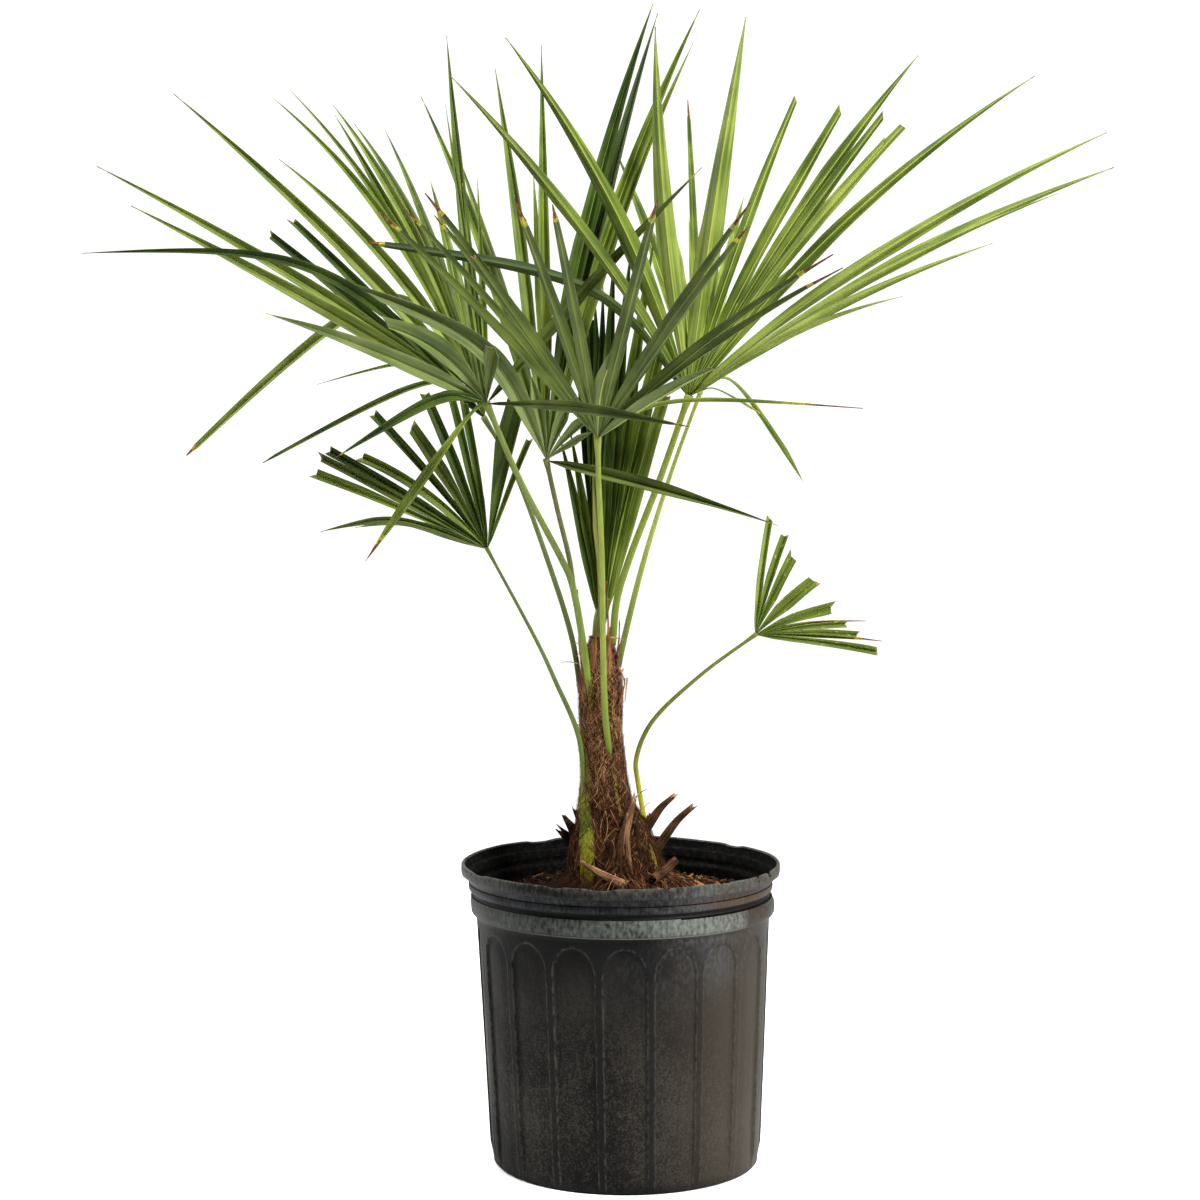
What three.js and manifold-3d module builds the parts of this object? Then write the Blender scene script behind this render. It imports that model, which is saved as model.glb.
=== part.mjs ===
// A young windmill palm in a black nursery pot: millimetres, +Z up, and the side that faces -Y is
// its front. The origin is the centre of the pot's flat underside. The pot, the soil, the trunk,
// and the stalk and the fan of each frond are closed solids, 0.3 mm clear of each other.
import * as THREE from "three";
import { mergeVertices } from "three/addons/utils/BufferGeometryUtils.js";
import Module from "manifold-3d";

const wasm = await Module();
wasm.setup();

const GAP = 0.3;

// Nursery pot with eighteen arched flutes
const POT_HEIGHT = 286;
const LIP_RADIUS = 151;
const LIP_DEPTH = 11;
const NECK_RADIUS = 144.3;
const BAND_RADIUS = 142.5;
const BAND_TOP = 256;
const BAND_FOOT = 240;
const BODY_TOP_RADIUS = 138;
const BODY_FOOT_RADIUS = 127;
const BODY_FOOT = 24;
const SOLE_RADIUS = 118;
const FLOOR = 4;
const WALL = 4.6;
const FLUTES = 18;
const FLUTE_DEPTH = 2.2;
const FLUTE_HALF_ANGLE = 7.9;
const FLUTE_EDGE_ANGLE = 0.9;
const ARCH_FOOT = 203;
const ARCH_TOP = 228;

const SOIL_TOP = 257;
const TRUNK_FOOT = SOIL_TOP + GAP;
const TRUNK_SIDES = 16;
const TRUNK_WANDER = 0.04;
const STALK_SIDES = 6;
const HUB_RADIUS = 4.5;
const BEND_WEIGHT = 2.5;

// Trunk: height above the soil, radius, and how far its middle stands to the right of the pot's
const TRUNK = [
  [0, 49, -3], [14, 47, -3], [30, 45, -5], [49, 40, -8], [68, 33, -9], [87, 25, -15],
  [106, 21.6, -16], [154, 19.3, -19], [200, 20, -19.5], [222, 16, -19.5], [240, 10, -19],
];

// Old leaf bases on the trunk: the points they pass through, their radius at the foot and the end
const STUBS = [
  { through: [[20, 0, 310], [37, 0, 336], [50, 0, 348]], foot: 4.5, end: 2 },
  { through: [[28, 8, 285], [53, 10, 322], [68, 10, 336]], foot: 4.5, end: 2.3 },
  { through: [[-30, 2, 296], [-47, 1, 308], [-60, 0, 319]], foot: 8, end: 2 },
  { through: [[-30, -8, 304], [-43, -6, 315], [-52, -5, 324]], foot: 6, end: 1.6 },
  { through: [[-26, 0, 318], [-38, 0, 326], [-44, 0, 333]], foot: 5, end: 1.5 },
  { through: [[-36, -32, 288], [-18, -46, 281], [1, -58, 273]], foot: 5, end: 6 },
  { through: [[52, -14, 288], [42, -34, 283], [30, -48, 277]], foot: 4, end: 6 },
  { through: [[13, -36, 268], [17, -36, 300], [22, -28, 338]], foot: 9, end: 3 },
  { through: [[-6, 30, 290], [-10, 46, 308], [-12, 58, 330]], foot: 7, end: 2.5 },
  { through: [[14, 26, 290], [22, 36, 304], [28, 44, 322]], foot: 6, end: 2.5 },
];

// Papery sheaths round the trunk's top: turn in degrees, lean outwards and height
const SHEATHS = [[20, 7, 34], [75, 9, 26], [140, 5, 30], [200, 8, 36], [255, 6, 28], [310, 10, 24]];

// Fronds. A stalk runs through its points to the hub, and the fan looks the way of faces. Each row
// of leaflets is the tip's place from the hub (x, y, z), then the droop and the width. Trimmed
// leaflets end square at a share of their width, and a bent one has the place of its bend too.
const FRONDS = [
  {
    name: "front",
    stalk: [[-12, -20, 399], [-15, -27, 430], [-17, -48, 500], [-18, -80, 576], [-21, -108, 649]],
    hub: [-22, -120, 688], thick: [3, 2.4], faces: [0, -0.5, -0.85],
    leaflets: [
      [-176, -210, 182, 4, 17], [-153, -230, 182, 4, 15], [-135, -260, 192, 4, 17],
      [-63, -310, 183, 4, 18], [-34, -320, 178, 4, 17], [46, -310, 182, 4, 18],
      [119, -280, 183, 4, 17], [118, -270, 165, 4, 17], [189, -220, 147, 8, 16],
      [198, -210, 137, 8, 15],
    ],
    trimmed: [[-100, -210, 146, 2, 13], [-90, -180, 135, 2, 13], [97, -140, 58, 4, 14]],
    cutShare: 0.5,
    bent: [
      { bend: [1, -70, 45], tip: [19, -120, 84], width: 17 },
      { bend: [50, -55, 38], tip: [229, -70, 25], width: 7 },
    ],
  },
  {
    name: "right",
    stalk: [[-8, -4, 492], [-4, -14, 535], [7, -26, 573], [35, -46, 648]],
    hub: [61, -60, 724], thick: [3.4, 2.8], faces: [0, -1, 0],
    leaflets: [
      [-211, -90, 278, 13, 16], [-163, -90, 311, 19, 18], [-30, 40, 340, -10, 21],
      [54, 50, 351, 3, 23], [212, 40, 314, 10, 20], [313, 0, 290, 20, 15],
      [375, -20, 237, 17, 18], [378, -40, 204, 17, 19], [323, -80, 178, 15, 9],
      [258, -120, 131, 12, 13], [177, -150, 84, 12, 7],
    ],
    trimmed: [
      [101, 60, 277, 5, 11], [141, 40, 264, 4, 11], [178, 20, 257, 5, 11], [177, 0, 230, 6, 14],
      [194, 0, 245, 8, 16],
    ],
    cutShare: 0.45,
    bent: [{ bend: [-67, 10, 110], tip: [-293, 10, 141], width: 13 }],
  },
  {
    name: "right_back",
    stalk: [[-4, 16, 462], [3, 21, 495], [22, 30, 570], [49, 40, 656]],
    hub: [76, 45, 730], thick: [3, 1.7], faces: [0, -0.5, 0.85],
    leaflets: [
      [-79, 335, 264, 8, 17], [-35, 375, 247, 8, 17], [-4, 255, 308, 2, 9], [0, 335, 193, 6, 10],
      [35, 355, 196, 8, 15], [60, 345, 215, 8, 15], [92, 315, 177, 10, 16], [116, 275, 141, 12, 14],
    ],
    trimmed: [],
    bent: [
      { bend: [30, 65, 30], tip: [107, 105, -88], width: 11 },
      { bend: [13, 35, 8], tip: [62, 75, -20], width: 9 },
    ],
  },
  {
    name: "left_centre",
    stalk: [[-31, -10, 474], [-43, -22, 536], [-48, -30, 573], [-59, -42, 620]],
    hub: [-69, -50, 666], thick: [2.6, 2.2], faces: [0, -0.95, 0.3],
    leaflets: [
      [-127, 190, 355, 16, 14], [-91, 210, 298, 8, 15], [-52, 140, 376, 9, 15],
      [-7, 130, 396, 8, 13], [-17, 200, 286, 6, 12], [100, 110, 433, 18, 19],
      [104, 110, 423, 8, 17], [143, 90, 423, 16, 17], [137, 90, 392, 13, 14],
      [205, -120, -55, 3, 17], [40, -10, 28, 4, 13],
    ],
    trimmed: [],
    bent: [{ bend: [-43, -40, 111], tip: [-200, -90, 166], width: 13 }],
  },
  {
    name: "left",
    stalk: [[-29, -14, 441], [-36, -24, 498], [-47, -38, 556], [-55, -42, 574], [-93, -60, 648]],
    hub: [-123, -70, 718], thick: [3.4, 2.6], faces: [0, -1, 0.2],
    leaflets: [
      [-278, -20, 276, 8, 16], [-344, -40, 210, 8, 17], [-305, -90, 171, 4, 19],
      [-174, -200, 73, 6, 20], [195, -10, 212, 3, 15], [-45, 170, 356, -9, 15],
      [-26, 90, 207, 3, 8], [-12, 90, 212, 3, 8], [-43, 110, 283, 3, 7],
      [-201, 110, 232, 16, 14],
    ],
    trimmed: [[-80, -100, 66, 12, 22], [8, -40, 48, 3, 15]],
    cutShare: 0.7,
    bent: [
      { bend: [-139, -120, 136], tip: [-342, -120, 128], width: 13 },
      { bend: [-35, -50, 14], tip: [-126, -120, -48], width: 13 },
      { bend: [-9, -30, 0], tip: [-100, -120, -137], width: 12 },
      { bend: [82, -190, -2], tip: [177, -240, -21], width: 15 },
    ],
  },
  {
    name: "left_back",
    stalk: [[-38, 14, 445], [-46, 22, 494], [-70, 38, 570], [-105, 52, 661]],
    hub: [-131, 60, 705], thick: [2.7, 2.1], faces: [0, -0.9, 0.4],
    leaflets: [
      [-214, 100, 318, 28, 12], [-200, 130, 329, 24, 10], [-160, 160, 318, 22, 15],
      [-154, 120, 303, 10, 15], [-141, 190, 302, 24, 14], [-112, 220, 299, 16, 12],
      [-72, 320, 257, 9, 16], [-41, 340, 237, 9, 16],
    ],
    trimmed: [[-190, 60, 193, 3, 12], [-209, 40, 178, 3, 12]],
    cutShare: 0.6,
    bent: [
      { bend: [-84, 140, 175], tip: [-319, 200, -38], width: 14 },
      { bend: [-38, 90, 58], tip: [-232, 140, -45], width: 8 },
      { bend: [-49, 120, 71], tip: [-178, 160, 35], width: 6 },
    ],
  },
  {
    name: "low_left",
    stalk: [[-35, -10, 324], [-35, -12, 363], [-40, -14, 407], [-62, -18, 460], [-76, -20, 491]],
    hub: [-125, -20, 583], thick: [2.8, 1.4], faces: [0, -1, 0.1],
    leaflets: [],
    trimmed: [
      [-158, -20, 71, 2, 12], [-154, -10, 86, 2, 9], [-147, 0, 92, 2, 11], [-118, 10, 86, 10, 15],
      [-107, 20, 126, 2, 11], [-71, 10, 113, 2, 14], [-59, 30, 145, 2, 11], [-35, 40, 141, 2, 9],
      [-23, 40, 137, 2, 9], [39, 10, 102, 2, 7], [35, -40, 148, 0, 28],
    ],
    cutShare: 0.85,
    bent: [
      { bend: [-81, -20, 36], tip: [-151, -40, 18], width: 11 },
      { bend: [-73, -10, 29], tip: [-121, -20, 21], width: 9 },
    ],
  },
  {
    name: "low_right",
    stalk: [[22, -8, 328], [16, -10, 363], [14, -10, 382], [27, -12, 417], [72, -12, 462]],
    hub: [126, -10, 502], thick: [2.4, 1.6], faces: [0, -1, 0.1],
    leaflets: [[104, 0, 13, 4, 5], [118, -10, -5, 2, 5]],
    trimmed: [
      [14, 10, 109, 2, 7], [28, 10, 93, 2, 8], [35, 10, 74, 2, 12], [55, 5, 51, 2, 13],
      [72, 0, 26, 2, 12], [85, -5, 11, 2, 9], [95, -10, 1, 2, 8], [113, -15, -14, 2, 9],
    ],
    cutShare: 0.9,
    bent: [],
  },
  {
    name: "centre",
    stalk: [[-19, 4, 494], [-17, 8, 519]],
    hub: [-15, 8, 534], thick: [4.4, 4], faces: [0, -1, 0],
    leaflets: [
      [-46, 22, 137, 2, 10], [-36, 22, 141, 2, 10], [-10, 12, 292, 2, 13], [-2, 12, 299, 2, 13],
      [9, 7, 332, 2, 14], [25, 12, 334, 3, 15], [47, 22, 344, 4, 15], [-12, -6, 128, 2, 10],
    ],
    trimmed: [
      [-25, 22, 255, 2, 13], [-16, 12, 266, 2, 13], [56, 22, 255, 4, 14], [56, 22, 193, 4, 13],
    ],
    cutShare: 0.7,
    bent: [],
  },
];

function material(color, roughness) {
  return new THREE.MeshStandardMaterial({ color, roughness, metalness: 0 });
}

const potPlastic = material(0x2e302f, 0.62);
const pottingMix = material(0x2b1d14, 0.95);
const fibre = material(0x6a4630, 0.92);
const stalkGreen = material(0x8fa83f, 0.5);
const leafGreen = material(0x4d6f25, 0.5);

const vector = ([x, y, z]) => new THREE.Vector3(x, y, z);

function solid(geometry) {
  const bare = geometry.clone();
  bare.deleteAttribute("normal");
  bare.deleteAttribute("uv");
  const merged = mergeVertices(bare, 1e-4);
  return new wasm.Manifold(new wasm.Mesh({
    numProp: 3,
    vertProperties: new Float32Array(merged.attributes.position.array),
    triVerts: new Uint32Array(merged.index.array),
  }));
}

function geometryOf(body) {
  const { vertProperties, triVerts } = body.getMesh();
  const geometry = new THREE.BufferGeometry();
  geometry.setAttribute("position", new THREE.BufferAttribute(vertProperties, 3));
  geometry.setIndex(new THREE.BufferAttribute(triVerts, 1));
  geometry.computeVertexNormals();
  return geometry;
}

// The main body alone: loose scraps and the skins of sealed hollows are left behind.
function mainBody(body) {
  return body.decompose().reduce((best, piece) => (piece.volume() > best.volume() ? piece : best));
}

// A closed skin over rings of corners, which turn anticlockwise as seen from the far end. It ends
// in a point where a tip is given, and flat where none is.
function loft(rings, tip = null) {
  const sides = rings[0].length;
  const corners = rings.flat();
  const faces = [];
  for (let side = 1; side < sides - 1; side++) faces.push(0, side + 1, side);
  for (let ring = 0; ring < rings.length - 1; ring++) {
    for (let side = 0; side < sides; side++) {
      const here = ring * sides + side;
      const next = ring * sides + ((side + 1) % sides);
      faces.push(here, next, here + sides, next, next + sides, here + sides);
    }
  }
  const last = (rings.length - 1) * sides;
  if (tip) {
    corners.push(tip);
    for (let side = 0; side < sides; side++) {
      faces.push(last + side, last + ((side + 1) % sides), corners.length - 1);
    }
  } else {
    for (let side = 1; side < sides - 1; side++) faces.push(last, last + side, last + side + 1);
  }
  const geometry = new THREE.BufferGeometry();
  geometry.setAttribute(
    "position",
    new THREE.Float32BufferAttribute(corners.flatMap((corner) => corner.toArray()), 3),
  );
  geometry.setIndex(faces);
  return geometry;
}

// A tapering limb through points, with round sections
function limb(points, footRadius, endRadius, steps, grow = 0) {
  const route = new THREE.CatmullRomCurve3(points);
  const across = new THREE.Vector3(0, 1, 0);
  const rings = [];
  for (let step = 0; step <= steps; step++) {
    const middle = route.getPointAt(step / steps);
    const along = route.getTangentAt(step / steps);
    const side = new THREE.Vector3().crossVectors(along, across).normalize();
    const front = new THREE.Vector3().crossVectors(along, side);
    const radius = THREE.MathUtils.lerp(footRadius, endRadius, step / steps) + grow;
    rings.push(Array.from({ length: STALK_SIDES }, (_, corner) => {
      const turn = (corner / STALK_SIDES) * 2 * Math.PI;
      return middle.clone()
        .addScaledVector(side, radius * Math.cos(turn))
        .addScaledVector(front, radius * Math.sin(turn));
    }));
  }
  return loft(rings);
}

// The pot: one turned wall whose body sinks in at each flute, under a round arch
function potGeometry() {
  const bodyRadius = (height) => THREE.MathUtils.mapLinear(
    height, BODY_FOOT, BAND_FOOT, BODY_FOOT_RADIUS, BODY_TOP_RADIUS);
  const archRows = [ARCH_FOOT, ARCH_FOOT + 12, ARCH_FOOT + 20, ARCH_TOP - 1];
  const fluted = [
    [SOLE_RADIUS + 7, BODY_FOOT / 2],
    [BODY_FOOT_RADIUS, BODY_FOOT],
    ...archRows.map((height) => [bodyRadius(height), height]),
  ];
  const neckFoot = BAND_TOP + 5;
  const lipFoot = POT_HEIGHT - LIP_DEPTH;
  const profile = [
    [0, 0], [SOLE_RADIUS, 0], [SOLE_RADIUS + 4, 1.5],
    ...fluted,
    [bodyRadius(ARCH_TOP + 1), ARCH_TOP + 1], [BODY_TOP_RADIUS, BAND_FOOT - 1],
    [BAND_RADIUS, BAND_FOOT + 1], [BAND_RADIUS, BAND_TOP], [BAND_RADIUS - 1.5, BAND_TOP + 1],
    [BAND_RADIUS - 1.5, neckFoot - 1], [NECK_RADIUS, neckFoot], [NECK_RADIUS, lipFoot - 1],
    [LIP_RADIUS - 0.6, lipFoot], [LIP_RADIUS, POT_HEIGHT - 1.5], [LIP_RADIUS - 1.3, POT_HEIGHT],
    ...potInside(0),
  ].map(([radius, height]) => new THREE.Vector2(radius, height));
  const wall = new THREE.LatheGeometry(profile, FLUTES * 4);
  const places = wall.attributes.position;
  const flutePitch = 360 / FLUTES;
  const firstFluted = 3;
  for (let column = 0; column <= FLUTES * 4; column++) {
    const flute = Math.floor(column / 4) * flutePitch;
    profile.forEach((point, row) => {
      const isFluted = row >= firstFluted && row < firstFluted + fluted.length;
      const rise = THREE.MathUtils.clamp((point.y - ARCH_FOOT) / (ARCH_TOP - ARCH_FOOT), 0, 1);
      const half = isFluted ? FLUTE_HALF_ANGLE * Math.sqrt(1 - rise * rise) : flutePitch / 8;
      const rib = isFluted ? half + FLUTE_EDGE_ANGLE : flutePitch * 3 / 8;
      const turn = THREE.MathUtils.degToRad(flute + [-half, half, rib, flutePitch - rib][column % 4]);
      const sunk = isFluted && column % 4 < 2 ? FLUTE_DEPTH * Math.min(1, point.y / BODY_FOOT) : 0;
      const radius = point.x - sunk;
      places.setXYZ(column * profile.length + row, radius * Math.sin(turn), point.y,
        radius * Math.cos(turn));
    });
  }
  return wall.rotateX(Math.PI / 2);
}

// The pot's inside from its lip down to the middle of its floor, drawn in by a clearance
function potInside(clearance) {
  return [
    [LIP_RADIUS - 2.7, POT_HEIGHT], [LIP_RADIUS - 3.5, POT_HEIGHT - 17], [141, BAND_TOP + 6],
    [139.5, BAND_FOOT + 5], [BODY_TOP_RADIUS - WALL - 0.4, BAND_FOOT - 3],
    [BODY_FOOT_RADIUS - WALL, BODY_FOOT], [SOLE_RADIUS - 1, FLOOR], [0, FLOOR],
  ].map(([radius, height]) => [Math.max(0, radius - clearance), height + clearance]);
}

function soilGeometry() {
  const clearance = 0.6;
  const sides = 32;
  const below = potInside(clearance).filter(([, height]) => height < SOIL_TOP - 5).reverse();
  const profile = [
    ...below, [139, SOIL_TOP - 5], [120, SOIL_TOP - 2], [75, SOIL_TOP], [0, SOIL_TOP],
  ];
  return new THREE.LatheGeometry(
    profile.map(([radius, height]) => new THREE.Vector2(radius, height)), sides,
  ).rotateX(Math.PI / 2);
}

// The trunk's bare stem: rings that taper, lean and wander a little, from a flat cut
function trunkStem(grow) {
  return solid(loft(TRUNK.map(([height, radius, right], ring) => {
    const isTop = ring === TRUNK.length - 1;
    const edge = ring === 0 || isTop ? 0 : 1;
    const level = TRUNK_FOOT + height + (isTop ? grow : 0);
    return Array.from({ length: TRUNK_SIDES }, (_, side) => {
      const turn = (side / TRUNK_SIDES) * 2 * Math.PI;
      const wander = edge * TRUNK_WANDER * radius * Math.sin(3 * turn + 1.7 * ring);
      const reach = radius + wander + grow;
      return new THREE.Vector3(right + reach * Math.cos(turn), reach * Math.sin(turn), level);
    });
  })));
}

function trunkBody(grow) {
  let trunk = trunkStem(grow);
  for (const { through, foot, end } of STUBS) {
    trunk = trunk.add(solid(limb(through.map(vector), foot, end, 3, grow)));
  }
  const [topHeight, topRadius, topRight] = TRUNK[TRUNK.length - 2];
  for (const [degrees, lean, height] of SHEATHS) {
    const turn = THREE.MathUtils.degToRad(degrees);
    const out = new THREE.Vector3(Math.cos(turn), Math.sin(turn), 0);
    const root = new THREE.Vector3(topRight, 0, TRUNK_FOOT + topHeight - 8)
      .addScaledVector(out, topRadius - 5);
    const tip = root.clone().addScaledVector(out, lean).setZ(root.z + height);
    const middle = root.clone().lerp(tip, 0.5).addScaledVector(out, 2);
    trunk = trunk.add(solid(limb([root, middle, tip], 4.5, 0.8, 2, grow)));
  }
  return mainBody(trunk);
}

// A leaflet: a slim three-cornered blade that widens from the hub, with a ridge along its back
function leaflet(hub, [bend, tip], weight, width, faces, cutShare = 0) {
  const at = (t) => {
    const weights = [(1 - t) ** 2, 2 * weight * t * (1 - t), t * t];
    const total = weights[0] + weights[1] + weights[2];
    return hub.clone().multiplyScalar(weights[0])
      .addScaledVector(bend, weights[1])
      .addScaledVector(tip, weights[2])
      .divideScalar(total);
  };
  const length = hub.distanceTo(bend) * 0.3 + hub.distanceTo(tip) * 0.8;
  const thickness = Math.max(2.2, length / 95);
  const shape = cutShare
    ? [[0, 0.3], [0.2, 0.7], [0.55, 1], [1, cutShare]]
    : [[0, 0.3], [0.16, 0.75], [0.36, 1], [0.6, 0.9], [0.82, 0.55]];
  const rings = shape.map(([t, share]) => {
    const middle = at(t);
    const along = at(Math.min(1, t + 0.02)).sub(at(Math.max(0, t - 0.02))).normalize();
    const side = new THREE.Vector3().crossVectors(along, faces).normalize();
    const back = new THREE.Vector3().crossVectors(along, side);
    const half = (share * width) / 2;
    return [
      middle.clone().addScaledVector(side, half),
      middle.clone().addScaledVector(back, thickness),
      middle.clone().addScaledVector(side, -half),
    ];
  });
  return solid(loft(rings, cutShare ? null : tip));
}

// Where the middle of a drooping leaflet is drawn to: up and square to its straight line
function droopBend(hub, tip, droop) {
  const chord = tip.clone().sub(hub).normalize();
  const lift = new THREE.Vector3(0, 0, 1).addScaledVector(chord, -chord.z).normalize();
  return hub.clone().lerp(tip, 0.5).addScaledVector(lift, 2 * droop);
}

function fanBody(frond) {
  const hub = vector(frond.hub);
  const faces = vector(frond.faces);
  const fromHub = (place) => vector(place).add(hub);
  let fan = solid(new THREE.SphereGeometry(HUB_RADIUS, 8, 6).translate(...frond.hub));
  for (const [rows, share] of [[frond.leaflets, 0], [frond.trimmed, frond.cutShare]]) {
    for (const [x, y, z, droop, width] of rows) {
      const tip = fromHub([x, y, z]);
      fan = fan.add(leaflet(hub, [droopBend(hub, tip, droop), tip], 1, width, faces, share));
    }
  }
  for (const { bend, tip, width } of frond.bent) {
    fan = fan.add(leaflet(hub, [fromHub(bend), fromHub(tip)], BEND_WEIGHT, width, faces));
  }
  return fan;
}

function stalkGeometry(frond, grow) {
  const hub = vector(frond.hub);
  const points = frond.stalk.map(vector);
  const last = points[points.length - 1];
  const top = hub.clone().sub(last).setLength(hub.distanceTo(last) - HUB_RADIUS - GAP).add(last);
  const steps = 8;
  return limb([...points, top], ...frond.thick, steps, grow);
}

const palm = new THREE.Group();

function add(name, geometry, finish) {
  const mesh = new THREE.Mesh(geometry, finish);
  mesh.name = name;
  palm.add(mesh);
}

add("pot", potGeometry(), potPlastic);
add("soil", soilGeometry(), pottingMix);

const trunkRoom = trunkBody(GAP);
add("trunk", geometryOf(trunkBody(0)), fibre);

for (const frond of FRONDS) {
  const stalk = mainBody(solid(stalkGeometry(frond, 0)).subtract(trunkRoom));
  const fan = mainBody(fanBody(frond).subtract(solid(stalkGeometry(frond, GAP))));
  add(`stalk_${frond.name}`, geometryOf(stalk), stalkGreen);
  add(`fan_${frond.name}`, geometryOf(fan), leafGreen);
}

export default palm;
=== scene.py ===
"""Looks of a young windmill palm in its black nursery pot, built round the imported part.

Tables of the plant are in millimetres, and MM turns them into metres. +Z is up, -Y is the front.
"""
import math
import random
from collections import namedtuple

import bmesh
import bpy
from mathutils import Matrix, Vector, noise


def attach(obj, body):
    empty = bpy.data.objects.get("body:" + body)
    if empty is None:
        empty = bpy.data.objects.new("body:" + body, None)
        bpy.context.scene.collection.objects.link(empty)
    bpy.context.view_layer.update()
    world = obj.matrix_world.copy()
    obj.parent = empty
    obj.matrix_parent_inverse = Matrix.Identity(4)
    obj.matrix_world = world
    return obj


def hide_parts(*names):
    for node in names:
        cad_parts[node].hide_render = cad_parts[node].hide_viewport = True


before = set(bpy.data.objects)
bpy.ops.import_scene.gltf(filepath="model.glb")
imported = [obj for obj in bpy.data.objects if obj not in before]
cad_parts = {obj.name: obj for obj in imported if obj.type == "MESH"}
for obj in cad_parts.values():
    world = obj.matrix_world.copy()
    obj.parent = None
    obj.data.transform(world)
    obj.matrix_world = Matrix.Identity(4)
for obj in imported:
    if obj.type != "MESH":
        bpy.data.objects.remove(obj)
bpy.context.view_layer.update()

MM = 0.001
random.seed(11)


# Camera, lights and floor

CAMERA_PLACE = (-0.0198, -2.40, 0.699)
CAMERA_PITCH = math.radians(3.93)
CAMERA_LENS = 76.6
SENSOR_WIDTH = 36
LAMP_AIM = (0, 0, 0.6)
LIGHT_IN_FRONT = 0.14
LIGHT_BEHIND = 1.15
FLOOR_REACH = 1.5


def put_in_scene(thing):
    bpy.context.scene.collection.objects.link(thing)


def set_camera():
    camera = bpy.data.objects.new("camera", bpy.data.cameras.new("camera"))
    camera.data.lens = CAMERA_LENS
    camera.data.sensor_width = SENSOR_WIDTH
    camera.location = CAMERA_PLACE
    camera.rotation_euler = (math.pi / 2 - CAMERA_PITCH, 0, 0)
    put_in_scene(camera)
    bpy.context.scene.camera = camera


def add_lamp(name, place, size, watts):
    lamp = bpy.data.lights.new(name, "AREA")
    lamp.size = size
    lamp.energy = watts
    holder = bpy.data.objects.new(name, lamp)
    holder.location = place
    holder.rotation_euler = (Vector(LAMP_AIM) - Vector(place)).to_track_quat("-Z", "Y").to_euler()
    put_in_scene(holder)


def set_studio():
    bpy.context.scene.view_settings.view_transform = "Standard"
    world = bpy.data.worlds.new("white sweep, dim towards the front")
    world.use_nodes = True
    nodes = world.node_tree.nodes
    links = world.node_tree.links
    facing = nodes.new("ShaderNodeTexCoord")
    axes = nodes.new("ShaderNodeSeparateXYZ")
    dimming = nodes.new("ShaderNodeMapRange")
    limits = {"From Min": 0.2, "From Max": 0.9, "To Min": LIGHT_IN_FRONT, "To Max": LIGHT_BEHIND}
    for limit, value in limits.items():
        dimming.inputs[limit].default_value = value
    links.new(facing.outputs["Generated"], axes.inputs[0])
    links.new(axes.outputs["Y"], dimming.inputs["Value"])
    links.new(dimming.outputs["Result"], nodes["Background"].inputs["Strength"])
    nodes["Background"].inputs["Color"].default_value = (1, 1, 1, 1)
    bpy.context.scene.world = world
    add_lamp("key lamp", (1.9, -1.7, 2.9), 1.0, 290)
    add_lamp("side lamp", (-2.5, 0.4, 2.3), 1.2, 125)
    add_lamp("top lamp", (0, 0.3, 3.4), 2.0, 150)

    shape = bmesh.new()
    bmesh.ops.create_grid(shape, x_segments=1, y_segments=1, size=FLOOR_REACH)
    mesh = bpy.data.meshes.new("floor")
    shape.to_mesh(mesh)
    shape.free()
    floor = bpy.data.objects.new("floor", mesh)
    put_in_scene(floor)
    paper = Finish("floor paper")
    mesh.materials.append(paper.surface(paper.noise(paper.place(), 3, 2) * 0.01 + 0.93, 0.9))


# Finishes. Their colours are in thousandths of full red, green and blue.

class Tone:
    """A socket of a finish's nodes: a sum, difference or product with it makes a math node."""

    def __init__(self, finish, socket):
        self.finish = finish
        self.socket = socket

    def worked(self, operation, first, second):
        return self.finish.node("Math", {"operation": operation}, {0: first, 1: second})

    def __add__(self, other):
        return self.worked("ADD", self, other)

    def __sub__(self, other):
        return self.worked("SUBTRACT", self, other)

    def __rsub__(self, other):
        return self.worked("SUBTRACT", other, self)

    def __mul__(self, other):
        return self.worked("MULTIPLY", self, other)

    __radd__ = __add__
    __rmul__ = __mul__


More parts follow.
